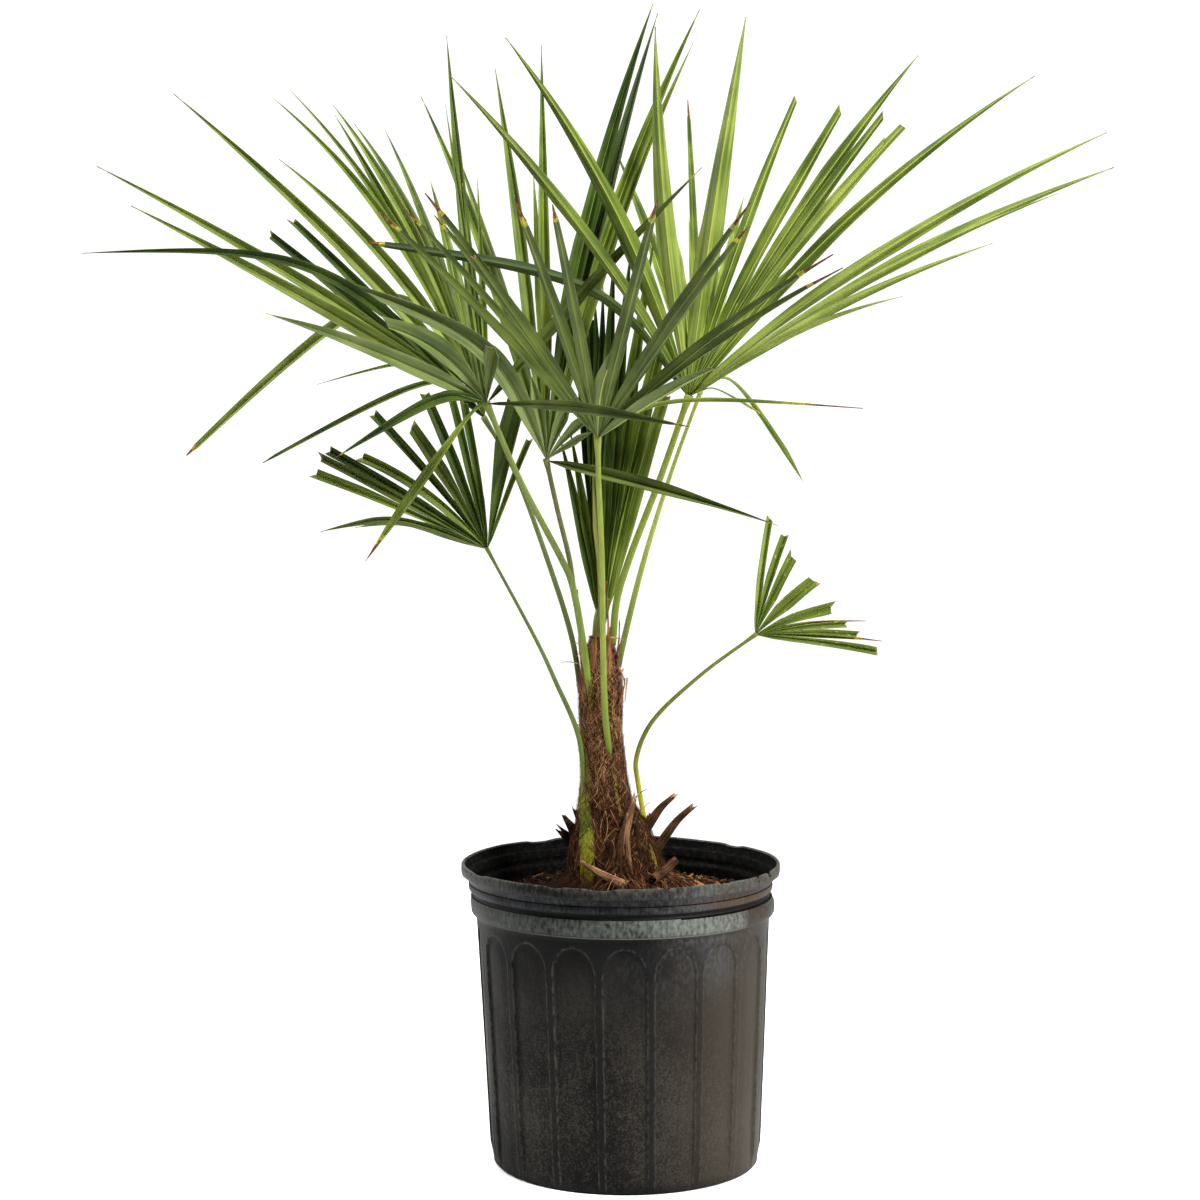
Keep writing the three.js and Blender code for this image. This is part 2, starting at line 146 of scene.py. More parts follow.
class Finish:
    """One procedural material and the nodes behind it."""

    def __init__(self, name, specular=0.5):
        self.material = bpy.data.materials.new(name)
        self.material.use_nodes = True
        self.nodes = self.material.node_tree.nodes
        self.shader = self.nodes["Principled BSDF"]
        self.shader.inputs["Specular IOR Level"].default_value = specular

    def node(self, kind, settings, inputs, output=0):
        made = self.nodes.new("ShaderNode" + kind)
        for setting, value in settings.items():
            setattr(made, setting, value)
        for name, value in inputs.items():
            self.feed(made.inputs[name], value)
        return Tone(self, made.outputs[output])

    def feed(self, socket, value):
        if isinstance(value, Tone):
            self.material.node_tree.links.new(value.socket, socket)
        elif isinstance(value, tuple) and socket.type == "RGBA":
            socket.default_value = (*(share / 1000 for share in value), 1)
        else:
            socket.default_value = value

    def place(self):
        return self.node("TexCoord", {}, {}, "Object")

    def along_grain(self, across, along):
        lines = self.node("UVMap", {"uv_map": "grain"}, {})
        return self.node("Mapping", {}, {"Vector": lines, "Scale": (across, along, 1)})

    def stretched(self, x, y, z):
        return self.node("Mapping", {}, {"Vector": self.place(), "Scale": (x, y, z)})

    def noise(self, vector, scale, detail):
        return self.node("TexNoise", {}, {"Vector": vector, "Scale": scale, "Detail": detail})

    def step(self, value, low, high):
        """0 below low, 1 above high and smooth between."""
        return self.node("MapRange", {"interpolation_type": "SMOOTHSTEP"},
                         {"Value": value, "From Min": low, "From Max": high})

    def attribute(self, name):
        return self.node("Attribute", {"attribute_name": name}, {}, "Fac")

    def axis(self, letter):
        return self.node("SeparateXYZ", {}, {0: self.place()}, letter)

    def mix(self, share, first, second):
        return self.node("Mix", {"data_type": "RGBA"}, {0: share, 6: first, 7: second}, 2)

    def stripe(self, value, foot, full_from, full_to, top):
        """0 below foot and above top, and 1 between the two others."""
        return self.step(value, foot, full_from) * self.step(value, top, full_to)

    def surface(self, color, roughness, height=None, depth=0.0):
        self.feed(self.shader.inputs["Base Color"], color)
        self.feed(self.shader.inputs["Roughness"], roughness)
        if height is not None:
            bump = self.node("Bump", {}, {"Height": height, "Distance": depth})
            self.feed(self.shader.inputs["Normal"], bump)
        return self.material


def leaf_finish(name, light, deep, roughness, fleck=0):
    """A blade with fine lengthwise veins, broad mottling and, if it is asked for, yellow flecks."""
    finish = Finish(name, 0.10)
    veins = finish.noise(finish.along_grain(430, 6), 1, 1)
    cloud = finish.noise(finish.place(), 24, 2)
    color = finish.mix(finish.step(veins * 0.62 + cloud * 0.5, 0.40, 0.74), deep, light)
    if fleck:
        speckle = finish.step(finish.noise(finish.along_grain(300, 90), 1, 2), 0.64, 0.72)
        color = finish.mix(speckle * fleck, color, (360, 340, 60))
    return finish.surface(color, veins * 0.2 + roughness)


def dry_finish(name, light, deep):
    """A dead or dying end of a leaf."""
    finish = Finish(name, 0.08)
    cloud = finish.noise(finish.along_grain(500, 200), 1, 2)
    return finish.surface(finish.mix(finish.step(cloud, 0.35, 0.65), deep, light), 0.7, cloud, 0.0003)


def stalk_finish(name, top, foot, low, high):
    """A smooth stalk that turns from one colour at its foot to another further up."""
    finish = Finish(name, 0.15)
    grain = finish.noise(finish.stretched(260, 260, 14), 1, 1)
    cloud = finish.noise(finish.place(), 34, 2)
    rise = finish.step(finish.axis("Z") + cloud * 0.02, low, high)
    color = finish.mix(rise, foot, top)
    dark = tuple(share * 0.62 for share in top)
    color = finish.mix(finish.step(grain * 0.6 + cloud * 0.4, 0.42, 0.62) * 0.45, color, dark)
    return finish.surface(color, grain * 0.2 + 0.38, grain, 0.0002)


def woody_finish(name, light, deep):
    """Dead fibrous wood, streaked along the grain of its piece."""
    finish = Finish(name, 0.04)
    streaks = finish.noise(finish.along_grain(900, 60), 1, 4)
    cloud = finish.noise(finish.place(), 70, 3)
    share = finish.step(streaks * 0.7 + cloud * 0.4, 0.42, 0.70)
    return finish.surface(finish.mix(share, deep, light), 0.9, streaks, 0.0012)


def bark_finish():
    """The mat of fibre on the trunk, with living green showing through where it is worn."""
    finish = Finish("trunk fibre mat", 0.04)
    left = finish.noise(finish.stretched(420, 420, 110), 1, 5)
    cloud = finish.noise(finish.place(), 45, 4)
    share = finish.step(left * 0.8 + cloud * 0.4, 0.45, 0.80)
    fibre = finish.mix(share, (7, 3, 1), (68, 31, 13))
    rust = finish.step(cloud, 0.52, 0.66) * finish.step(finish.axis("Z"), 0.36, 0.28)
    fibre = finish.mix(rust * 0.6, fibre, (150, 45, 12))
    living = finish.step(finish.attribute("living") + left * 0.8 + cloud * 0.4 - 0.60, 0.28, 0.50)
    green = finish.mix(finish.step(cloud, 0.40, 0.60), (78, 102, 12), (200, 215, 20))
    gold = finish.step(finish.axis("Z"), 0.315, 0.275)
    green = finish.mix(gold * 0.7, green, (330, 260, 14))
    return finish.surface(finish.mix(living, fibre, green), 0.85, left, 0.002)


def pot_finish():
    """Black plastic beneath layers of sand, dust, chalky band, worn patches, stains and worn edges; the right
    side is lighter and browner as painted light with brown dust, the low ridges and the groove above the band
    are darkened as painted shade, and the edges carry painted highlights.
    """
    finish = Finish("scuffed black plastic with painted light and shade", 0.06)
    z = finish.axis("Z")
    x = finish.axis("X")
    broad = finish.noise(finish.place(), 11, 4)
    fine = finish.noise(finish.stretched(1, 1, 0.55), 330, 5)
    grit = finish.noise(finish.place(), 620, 3)
    smear = finish.noise(finish.stretched(9, 9, 60), 1, 4)

    sand = finish.step(grit * 0.55 + fine * 0.3 + broad * 0.25, 0.50, 0.66) * finish.step(z, 0.25, 0.08)
    dust = finish.step(z, 0.16, 0.236) * finish.step(x + broad * 0.08, 0.02, 0.11)
    dust = dust * finish.step(fine * 0.5 + broad * 0.55, 0.44, 0.70)
    # Ridges between the flutes, low down and on the left, are darkened: partly painted shade, partly plastic
    # kept clean of dust and sand.
    ridge = (1 - finish.attribute("panel")) * finish.step(z, 0.236, 0.22) * finish.step(x, 0.15, 0.02)
    spread = (finish.step(x, -0.13, 0.10) * 0.75 + 0.25) * finish.step(x, 0.118, 0.110)
    chalk = finish.step(fine * 0.55 + broad * 0.45, 0.26, 0.66) * spread
    patches = finish.step(smear * 0.3 + fine * 0.4 + broad * 0.4, 0.40, 0.74)
    stain = finish.stripe(z, 0.2610, 0.2625, 0.2690, 0.2745) * finish.step(x * 2.2 + smear, 0.52, 0.80)
    # Pale lines along the flutes' edges and on top of the lip: partly scuffed wear, partly painted highlight.
    worn_and_highlit = finish.attribute("edge") * finish.step(fine, 0.38, 0.62)
    layers = [
        # Lighter and browner on the right: painted light falling from the right, with brown dust.
        (finish.step(x, 0.01, 0.12) * 0.8, (34, 27, 20)),
        (sand * 0.30, (62, 53, 38)),
        (dust * 0.50, (60, 70, 78)),
        (ridge * 0.7, (3, 3, 3)),
        (finish.stripe(z, 0.2395, 0.2415, 0.2550, 0.2590) * chalk * 0.80, (138, 152, 134)),
        (finish.stripe(z, 0.2384, 0.2390, 0.2396, 0.2404) * spread * 0.6, (150, 150, 120)),
        (finish.stripe(z, 0.2612, 0.2625, 0.2730, 0.2745) * patches * 0.34, (66, 74, 80)),
        (finish.step(z, 0.2745, 0.2765) * patches * 0.42, (85, 88, 80)),
        # A near-black stripe in the groove above the band: painted shade in the recess.
        (finish.stripe(z, 0.2556, 0.2562, 0.2602, 0.2616) * 0.85, (2, 2, 2)),
        (stain * 0.32, (70, 36, 15)),
        (worn_and_highlit * 0.34, (70, 68, 56)),
    ]
    color = finish.mix(finish.step(broad, 0.35, 0.68), (2, 2, 2), (6, 5.5, 4.8))
    for share, tint in layers:
        color = finish.mix(share, color, tint)
    rough = 0.58 - finish.step(broad, 0.4, 0.7) * 0.10 + grit * 0.12
    return finish.surface(color, rough, grit * 0.5 + fine, 0.0004)


def pot_inside_finish():
    finish = Finish("shaded black plastic", 0.03)
    grit = finish.noise(finish.place(), 240, 4)
    color = finish.mix(finish.step(grit, 0.45, 0.7), (1, 1, 1), (6, 5, 4))
    return finish.surface(color, 0.8, grit, 0.0004)


def soil_finish():
    finish = Finish("bark and peat", 0.04)
    crumbs = finish.noise(finish.place(), 190, 5)
    cloud = finish.noise(finish.place(), 40, 3)
    color = finish.mix(finish.step(crumbs, 0.42, 0.66), (3, 2, 1), (36, 17, 8))
    color = finish.mix(finish.step(cloud, 0.52, 0.68) * 0.4, color, (46, 20, 8))
    return finish.surface(color, 0.95, crumbs, 0.004)


# Blades' finishes: light colour, deep colour, roughness and how much of it is flecked
LIVING_BLADES = [
    ("fresh leaf", (165, 205, 36), (54, 84, 9), 0.46),
    ("mid leaf", (112, 150, 18), (28, 50, 4), 0.46),
    # The deep finish is partly the dark green of older leaves and partly painted shade on leaves that stand
    # in the shade of others, as in the centre fan.
    ("deep leaf", (42, 68, 7), (9, 20, 2), 0.48),
    ("waxy leaf", (110, 138, 44), (48, 70, 20), 0.56),
    # The underside finish is darker partly for the underside's own colour and partly as painted shade on
    # leaves that face down, away from the light.
    ("shaded leaf underside", (68, 90, 14), (20, 33, 4), 0.52),
    ("flecked leaf", (104, 138, 20), (38, 62, 6), 0.50, 0.8),
    ("olive leaf", (125, 125, 26), (66, 72, 12), 0.50),
    # The pale rib is partly the midrib's own paler green and partly a painted highlight where the fold's
    # ridge catches the light.
    ("pale rib", (260, 290, 50), (170, 210, 28), 0.48),
    ("green rib", (120, 160, 24), (72, 108, 12), 0.48),
]
DRY_BLADES = [
    ("yellowing leaf", (240, 240, 30), (130, 150, 18)),
    ("yellow end", (340, 250, 22), (220, 150, 16)),
    ("brown end", (130, 60, 20), (42, 19, 7)),
    ("cut edge", (230, 150, 60), (110, 60, 28)),
]
BLADES = [leaf_finish(*row) for row in LIVING_BLADES] + [dry_finish(*row) for row in DRY_BLADES]
SHADE = {"fresh": 0, "mid": 1, "deep": 2, "waxy": 3, "under": 4, "fleck": 5, "olive": 6}
RIB = {"fresh": 7, "mid": 7, "deep": 8, "waxy": 7, "under": 8, "fleck": 7, "olive": 6}
YELLOWING, YELLOW, BROWN, CUT_EDGE = 9, 10, 11, 12
CUT_EDGE_LENGTH = 0.0012


# Pieces

def link_piece(name, shape, finishes, node, smooth=True):
    """Makes a piece of the palm from a bmesh: it rides with the pot and stands for its node."""
    mesh = bpy.data.meshes.new(name)
    shape.to_mesh(mesh)
    shape.free()
    mesh.polygons.foreach_set("use_smooth", [smooth] * len(mesh.polygons))
    for finish in finishes:
        mesh.materials.append(finish)
    piece = bpy.data.objects.new(name, mesh)
    put_in_scene(piece)
    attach(piece, "root")
    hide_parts(node)
    return piece


def add_values(piece, name, values):
    """Gives each of a piece's vertices a number that its finish reads."""
    piece.data.attributes.new(name, "FLOAT", "POINT").data.foreach_set("value", values)


def faces_at(verts):
    return {face for vert in verts for face in vert.link_faces}


def sheet(shape, columns, rows):
    """The vertices of a flat grid, which runs from -0.5 to 0.5 both ways."""
    return bmesh.ops.create_grid(shape, x_segments=columns, y_segments=rows, size=0.5)["verts"]


def spun(outline, steps):
    """A round shape from its outline, as radius and height from one end to the other."""
    shape = bmesh.new()
    verts = [shape.verts.new((0, -radius, height)) for radius, height in outline]
    for before, after in zip(verts, verts[1:]):
        shape.edges.new((before, after))
    bmesh.ops.spin(shape, geom=[*shape.verts, *shape.edges], cent=(0, 0, 0), axis=(0, 0, 1), dvec=(0, 0, 0),
                   angle=math.tau, steps=steps, use_merge=True)
    bmesh.ops.remove_doubles(shape, verts=shape.verts, dist=1e-5)
    return shape


def bumpy(x, y, z):
    """Smooth noise between -1 and 1."""
    return noise.noise(Vector((x, y, z)))


def thicken(piece, thickness):
    shell = piece.modifiers.new("thickness", "SOLIDIFY")
    shell.thickness = thickness
    shell.offset = 0


def smoothstep(low, high, value):
    share = min(1, max(0, (value - low) / (high - low)))
    return share * share * (3 - 2 * share)


def between(rows, value):
    """Reads a table of rows that start with a growing number, with straight lines between them."""
    for before, after in zip(rows, rows[1:]):
        if value <= after[0]:
            share = max(0, (value - before[0]) / (after[0] - before[0]))
            return [a + (b - a) * share for a, b in zip(before[1:], after[1:])]
    return list(rows[-1][1:])


def lengths_along(places):
    """How far along the line through all the places each of them is."""
    lengths = [0.0]
    for before, after in zip(places, places[1:]):
        lengths.append(lengths[-1] + (after - before).length)
    return lengths


def smooth_route(points, steps):
    """Evenly spaced places on a smooth curve through the points."""
    points = [Vector(point) for point in points]
    ends = [points[0] * 2 - points[1], *points, points[-1] * 2 - points[-2]]
    fine = []
    for p0, p1, p2, p3 in zip(ends, ends[1:], ends[2:], ends[3:]):
        knots = [0.0]
        for a, b in ((p0, p1), (p1, p2), (p2, p3)):
            knots.append(knots[-1] + math.sqrt((b - a).length))
        k0, k1, k2, k3 = knots
        for count in range(16):
            k = k1 + (k2 - k1) * count / 16
            a1 = p0.lerp(p1, (k - k0) / (k1 - k0))
            a2 = p1.lerp(p2, (k - k1) / (k2 - k1))
            a3 = p2.lerp(p3, (k - k2) / (k3 - k2))
            b1 = a1.lerp(a2, (k - k0) / (k2 - k0))
            b2 = a2.lerp(a3, (k - k1) / (k3 - k1))
            fine.append(b1.lerp(b2, (k - k1) / (k2 - k1)))
    fine.append(points[-1])
    lengths = lengths_along(fine)
    rows = [(length, *place) for length, place in zip(lengths, fine)]
    return [Vector(between(rows, lengths[-1] * step / steps)) for step in range(steps + 1)]


def grain_map(shape):
    return shape.loops.layers.uv.get("grain") or shape.loops.layers.uv.new("grain")


BATCH = 250


def in_batches(shape, count, add):
    """Adds many small pieces in groups, because an operator takes longer the more its mesh holds."""
    mesh = bpy.data.meshes.new("batch")
    for first in range(0, count, BATCH):
        batch = bmesh.new()
        lines = grain_map(batch)
        for _ in range(min(BATCH, count - first)):
            add(batch, lines)
        batch.to_mesh(mesh)
        batch.free()
        shape.from_mesh(mesh)
    bpy.data.meshes.remove(mesh)


def tube(shape, steps, sides, place, index=0, girth=0.02, length=0.1):
    """A closed skin round a route: place(step, turn) says where each of its corners is."""
    lines = grain_map(shape)
    made = sheet(shape, sides, steps)
    faces = faces_at(made)
    for face in faces:
        face.material_index = index
        for loop in face.loops:
            loop[lines].uv = ((loop.vert.co.x + 0.5) * girth, (loop.vert.co.y + 0.5) * length)
    for vert in made:
        step = round((vert.co.y + 0.5) * steps)
        turn = round((vert.co.x + 0.5) * sides) % sides / sides * math.tau
        vert.co = place(step, turn)
    bmesh.ops.remove_doubles(shape, verts=made, dist=1e-6)
    skin = [face for face in faces if face.is_valid]
    open_edges = {edge for face in skin for edge in face.edges if edge.is_boundary}
    caps = bmesh.ops.holes_fill(shape, edges=list(open_edges), sides=0)["faces"]
    for face in caps:
        face.material_index = index
    bmesh.ops.recalc_face_normals(shape, faces=skin + caps)


def frames_along(route, across):
    """For each place on a route: the place, and the ways to its side and to its front."""
    found = []
    for count, here in enumerate(route):
        ahead = route[min(count + 1, len(route) - 1)]
        behind = route[max(count - 1, 0)]
        along = (ahead - behind).normalized()
        side = along.cross(across).normalized()
        found.append((here, side, side.cross(along)))
    return found


# The nursery pot

POT_HEIGHT = 0.286
LIP_RADIUS = 0.151
NECK_RADIUS = 0.1443
BAND_RADIUS = 0.1425
BAND_TOP = 0.256
BAND_FOOT = 0.240
BODY_TOP_RADIUS = 0.138
BODY_FOOT_RADIUS = 0.127
BODY_FOOT = 0.024
SOLE_RADIUS = 0.1205
LIP_FOOT = 0.275
LIP_BENT = 0.272
LIP_WORN = 0.283
LIP_SCUFFED_AND_HIGHLIT = 0.2835
FLUTES = 18
FLUTE_DEPTH = 0.0023
FLUTE_BULGE = 0.0008
FLUTE_HALF_ANGLE = math.radians(8.6)
FLUTE_EDGE = 0.0016
ARCH_FOOT = 0.203
ARCH_TOP = 0.229
POT_COLUMNS = FLUTES * 40
POT_OVAL = 4

# Notches in the lip: turn from the front in degrees, half width and depth
LIP_NOTCHES = [
    (15.8, 0.9, 0.0036), (57.2, 1.1, 0.0048), (66.5, 2.6, 0.0030), (-7, 6, 0.0016), (-24, 4, 0.0012),
    (-62, 7, 0.0014), (38, 5, 0.0010), (131, 6, 0.0015), (-148, 8, 0.0016),
]


def body_radius(height):
    rise = (height - BODY_FOOT) / (BAND_FOOT - BODY_FOOT)
    return BODY_FOOT_RADIUS + (BODY_TOP_RADIUS - BODY_FOOT_RADIUS) * rise


def pot_profile():
    """The wall's rounded outline from the middle of the sole over the lip to the middle of the floor."""
    straight = [BODY_FOOT + (ARCH_FOOT - BODY_FOOT) * step / 14 for step in range(15)]
    arched = [ARCH_FOOT + (ARCH_TOP - ARCH_FOOT) * step / 34 for step in range(1, 36)]
    body = [(body_radius(height), height) for height in straight + arched + [0.2325, 0.2352]]
    foot = [(SOLE_RADIUS + 0.001, 0.0004), (SOLE_RADIUS + 0.003, 0.0022), (0.1247, 0.009), (0.1265, 0.017)]
    bands = [
        (0.1384, 0.2376), (0.1398, 0.2384), (0.1416, 0.2394), (BAND_RADIUS, 0.2410), (0.1429, 0.2450),
        (0.1430, 0.2500), (BAND_RADIUS, 0.2550), (0.1420, BAND_TOP), (0.1411, 0.2566), (0.1407, 0.2590),
        (0.1409, 0.2606), (0.1428, 0.2614), (0.1440, 0.2624), (NECK_RADIUS, 0.2650), (0.1441, 0.2680),
        (0.1436, 0.2688), (0.1441, 0.2700), (0.1447, 0.2738), (0.1462, 0.2746), (0.1490, LIP_FOOT),
        (0.1504, 0.2762), (0.1509, 0.2790), (LIP_RADIUS, 0.2820), (0.1508, 0.2848), (0.1501, 0.2858),
        (0.1490, POT_HEIGHT), (0.1481, 0.2856), (0.1477, 0.2845),
    ]
    inside = [
        (0.1473, 0.2776), (0.1464, 0.2768), (0.1436, 0.2764), (0.1428, 0.2750), (0.1424, 0.2700),
        (0.1419, 0.2688), (0.1423, 0.2676), (0.1425, 0.2650), (0.1421, 0.2636), (0.1408, 0.2628),
        (0.1393, 0.2620), (0.1389, 0.2600), (0.1390, 0.2560), (0.1394, 0.2450), (0.1330, 0.2370),
        (0.1224, 0.0240), (0.1170, 0.0040), (0.0, 0.0040),
    ]
    sole = [(0.0, 0.0), (0.06, 0.0), (SOLE_RADIUS, 0.0)]
    return sole + foot + body + bands + inside


def flute_turn(turn):
    """Draws the wall's columns together near the upright edges of the flutes."""
    pitch = math.tau / FLUTES
    middle = round(turn / pitch) * pitch
    off = abs(turn - middle)
    inside = off < FLUTE_HALF_ANGLE
    span = FLUTE_HALF_ANGLE if inside else pitch / 2 - FLUTE_HALF_ANGLE
    share = abs(off - FLUTE_HALF_ANGLE) / span
    gap = span * share * (0.35 + 0.65 * share)
    return middle + math.copysign(FLUTE_HALF_ANGLE + (-gap if inside else gap), turn - middle)


def flute_cover(radius, turn, height):
    """How far inside a flute's arch a place lies, in metres: below 0 outside it."""
    pitch = math.tau / FLUTES
    off = abs((turn + pitch / 2) % pitch - pitch / 2) * radius
    half = FLUTE_HALF_ANGLE * radius
    rise = max(0, height - ARCH_FOOT) * half / (ARCH_TOP - ARCH_FOOT)
    return half - math.hypot(off, rise)


def lip_drop(turn):
    """How far the lip is torn or bent down at a turn from the front."""
    drop = 0
    for degrees, half, depth in LIP_NOTCHES:
        off = abs((math.degrees(turn) - degrees + 180) % 360 - 180) / half
        drop = max(drop, depth * (1 - smoothstep(0.25, 1, off)))
    return drop


def pushed_right(height):
    """How far the soft pot is pushed to the right at a height, below its band."""
    return (0.0022 + 0.0025 * (1 - height / BAND_FOOT)) * smoothstep(0.262, 0.245, height)


def flute_dent(radius, turn, height):
    """How deep the wall is sunk at a place, how near a flute's edge it is and if it is in a flute."""
    if radius <= body_radius(height) - 0.002 or not 0.0003 < height < BAND_FOOT - 0.003:
        return 0, 0, 0
    cover = flute_cover(radius, turn, height)
    fade = smoothstep(0, BODY_FOOT, height)
    sunk = FLUTE_DEPTH * smoothstep(0, FLUTE_EDGE, cover) * fade
    sunk -= FLUTE_BULGE * smoothstep(0.003, 0.014, cover) * fade
    edge = math.exp(-((cover - 0.0001) / 0.0006) ** 2)
    return sunk, edge, smoothstep(-0.0006, 0.0012, cover)


def face_pot(shape):
    """Gives the faces that look inwards, up to the worn lip, the second of the pot's finishes."""
    bmesh.ops.recalc_face_normals(shape, faces=shape.faces)
    for face in shape.faces:
        middle = face.calc_center_median()
        outward = face.normal.dot(Vector((middle.x, middle.y, 0)).normalized())
        looks_in = outward < -0.2 or face.normal.z > 0.5
        face.material_index = 1 if looks_in and middle.z < LIP_WORN else 0


def nursery_pot():
    shape = spun(pot_profile(), POT_COLUMNS)
    worn_and_highlit = []
    panels = []
    for vert in shape.verts:
        x, y, height = vert.co
        radius = math.hypot(x, y)
        turn = flute_turn(math.atan2(x, -y))
        sunk, edge, panel = flute_dent(radius, turn, height)
        wave = bumpy(x * 9, y * 9, height * 3) * 0.0009 * smoothstep(0.1, 0.28, height)
        reach = radius - sunk + wave * smoothstep(0.05, 0.1, radius)
        push = pushed_right(height) * smoothstep(0.1, 0.12, radius)
        vert.co.x = reach * (1 + POT_OVAL * push) * math.sin(turn) + push
        vert.co.y = -reach * math.cos(turn)
        if height > LIP_BENT:
            lift = smoothstep(LIP_BENT, POT_HEIGHT, height)
            vert.co.z += lift * (0.0011 * bumpy(x * 14, y * 14, 3) - lip_drop(turn))
            # The top of the lip joins the pale edge lines: scuffs with a painted highlight.
            edge = max(edge, smoothstep(LIP_SCUFFED_AND_HIGHLIT, POT_HEIGHT, height))
        worn_and_highlit.append(edge)
        panels.append(panel)
    face_pot(shape)
    piece = link_piece("nursery_pot", shape, [pot_finish(), pot_inside_finish()], "pot")
    add_values(piece, "edge", worn_and_highlit)
    add_values(piece, "panel", panels)


# The potting mix

SOIL_TOP = 0.257
SOIL_RADIUS = 0.1385
SOIL_RINGS = 70
SOIL_COLUMNS = 220
CHIP_COUNT = 1500


def soil_height(x, y):
    """The mix lies a little higher round the trunk, and it is crumbly."""
    radius = math.hypot(x, y)
    mound = 0.0045 * (1 - smoothstep(0.03, 0.12, radius)) - 0.005 * smoothstep(0.10, SOIL_RADIUS, radius)
    coarse = 0.0040 * bumpy(x * 42, y * 42, 0)
    crumbs = 0.0026 * bumpy(x * 190, y * 190, 5)
    return SOIL_TOP - 0.003 + mound + coarse + crumbs


def potting_mix():
    outline = [(SOIL_RADIUS * ring / SOIL_RINGS, 0) for ring in range(SOIL_RINGS + 1)]
    outline += [(SOIL_RADIUS - 0.002, -0.008), (SOIL_RADIUS - 0.010, -0.018)]
    shape = spun(outline, SOIL_COLUMNS)
    skirt = [edge for edge in shape.edges if edge.is_boundary]
    bmesh.ops.holes_fill(shape, edges=skirt, sides=0)
    for vert in shape.verts:
        vert.co.z += soil_height(vert.co.x, vert.co.y)
    bmesh.ops.recalc_face_normals(shape, faces=shape.faces)
    link_piece("potting_mix", shape, [soil_finish()], "soil")


def wood_chip(shape, lines):
    """A sliver of bark that lies on the mix, a tapered stick of wood."""
    reach = SOIL_RADIUS * 0.97 * math.sqrt(random.random())
    turn = random.uniform(0, math.tau)
    x, y = reach * math.sin(turn), -reach * math.cos(turn)
    size = Vector((random.uniform(3, 17), random.uniform(0.8, 3.0), random.uniform(0.5, 1.6))) * MM
    made = bmesh.ops.create_cube(shape, size=1)["verts"]
    bright = smoothstep(0.02, 0.07, x) * 0.5 + 0.05
    draw = random.random()
    index = 0 if draw < bright * 0.7 else 1 if draw < bright else 2
    for face in faces_at(made):
        face.material_index = index
        for loop in face.loops:
            loop[lines].uv = ((loop.vert.co.y + loop.vert.co.z) * size.y + reach, loop.vert.co.x * size.x)
    for vert in made:
        taper = 0.5 if vert.co.x > 0 else 1.0
        vert.co = Vector((vert.co.x * size.x, vert.co.y * size.y * taper, vert.co.z * size.z * taper))
    tilt = Matrix.Rotation(random.gauss(0, 0.28), 4, "Y") @ Matrix.Rotation(random.gauss(0, 0.5), 4, "X")
    spot = Vector((x, y, soil_height(x, y) + random.uniform(0.0004, 0.0036)))
    turned = Matrix.Translation(spot) @ Matrix.Rotation(random.uniform(0, math.tau), 4, "Z") @ tilt
    bmesh.ops.transform(shape, matrix=turned, verts=made)


def wood_chips():
    finishes = [
        woody_finish("orange chip", (200, 72, 20), (75, 24, 7)),
        woody_finish("tan chip", (240, 125, 55), (90, 42, 18)),
        woody_finish("dark chip", (36, 17, 9), (8, 4, 2)),
    ]
    shape = bmesh.new()
    in_batches(shape, CHIP_COUNT, wood_chip)
    link_piece("wood_chips", shape, finishes, "soil", smooth=False)


# The trunk

TRUNK_FOOT = 257.3
BARK_RINGS = 230
BARK_SIDES = 190

# Height above the trunk's foot, radius and the place of its middle to the right, in millimetres
TRUNK = [
    (0, 49, -3), (14, 47, -3), (30, 45, -5), (49, 40, -8), (68, 33, -9), (87, 25, -15),
    (106, 21.6, -16), (154, 19.3, -19), (200, 20, -19.5), (222, 16, -19.5), (240, 10, -19),
]

# Living leaf bases that show through the fibre, each as rows down the trunk: turn from the front
# in degrees, height above the floor and half width
LIVING_BASES = [
    [
        (-80, 418, 4), (-72, 400, 6.3), (-67, 384, 8.1), (-63, 363, 10), (-62, 342, 11), (-45, 321, 9),
        (-37, 299, 8.6), (-38, 268, 8.6),
    ],
    [(14, 440, 2.6), (22, 408, 2.4), (28, 380, 2.0), (29, 350, 1.8), (27, 330, 1.4)],
    [(60, 300, 2.2), (57, 290, 3.2), (55, 280, 2)],
    [(-48, 492, 3.6), (-38, 470, 3.8), (-28, 448, 3.2), (-30, 424, 1.8)],
    [(-84, 452, 2.4), (-74, 420, 2.4), (-66, 396, 1.6)],
]


def trunk_at(height):
    """Radius and middle of the trunk at a height above the floor, all in millimetres."""
    return between(TRUNK, height - TRUNK_FOOT)


def on_trunk(turn, height, lift=0.0):
    """A place on the trunk's skin, in metres. Turn 0 faces the front."""
    radius, right = trunk_at(height)
    reach = radius + lift
    return Vector((right + reach * math.sin(turn), -reach * math.cos(turn), height)) * MM


def living_share(turn, height):
    """1 in the middle of a living leaf base and 0 away from all of them."""
    degrees = (math.degrees(turn) + 180) % 360 - 180
    best = 0.0
    for rows in LIVING_BASES:
        if rows[-1][1] - 6 < height < rows[0][1] + 6:
            centre, half = between([(-row[1], row[0], row[2]) for row in rows], -height)
            gap = abs(math.radians(degrees - centre)) * trunk_at(height)[0]
            ends = smoothstep(rows[-1][1] - 6, rows[-1][1] + 4, height)
            best = max(best, ends * (1 - smoothstep(half * 0.75, half * 1.25, gap)))
    return best


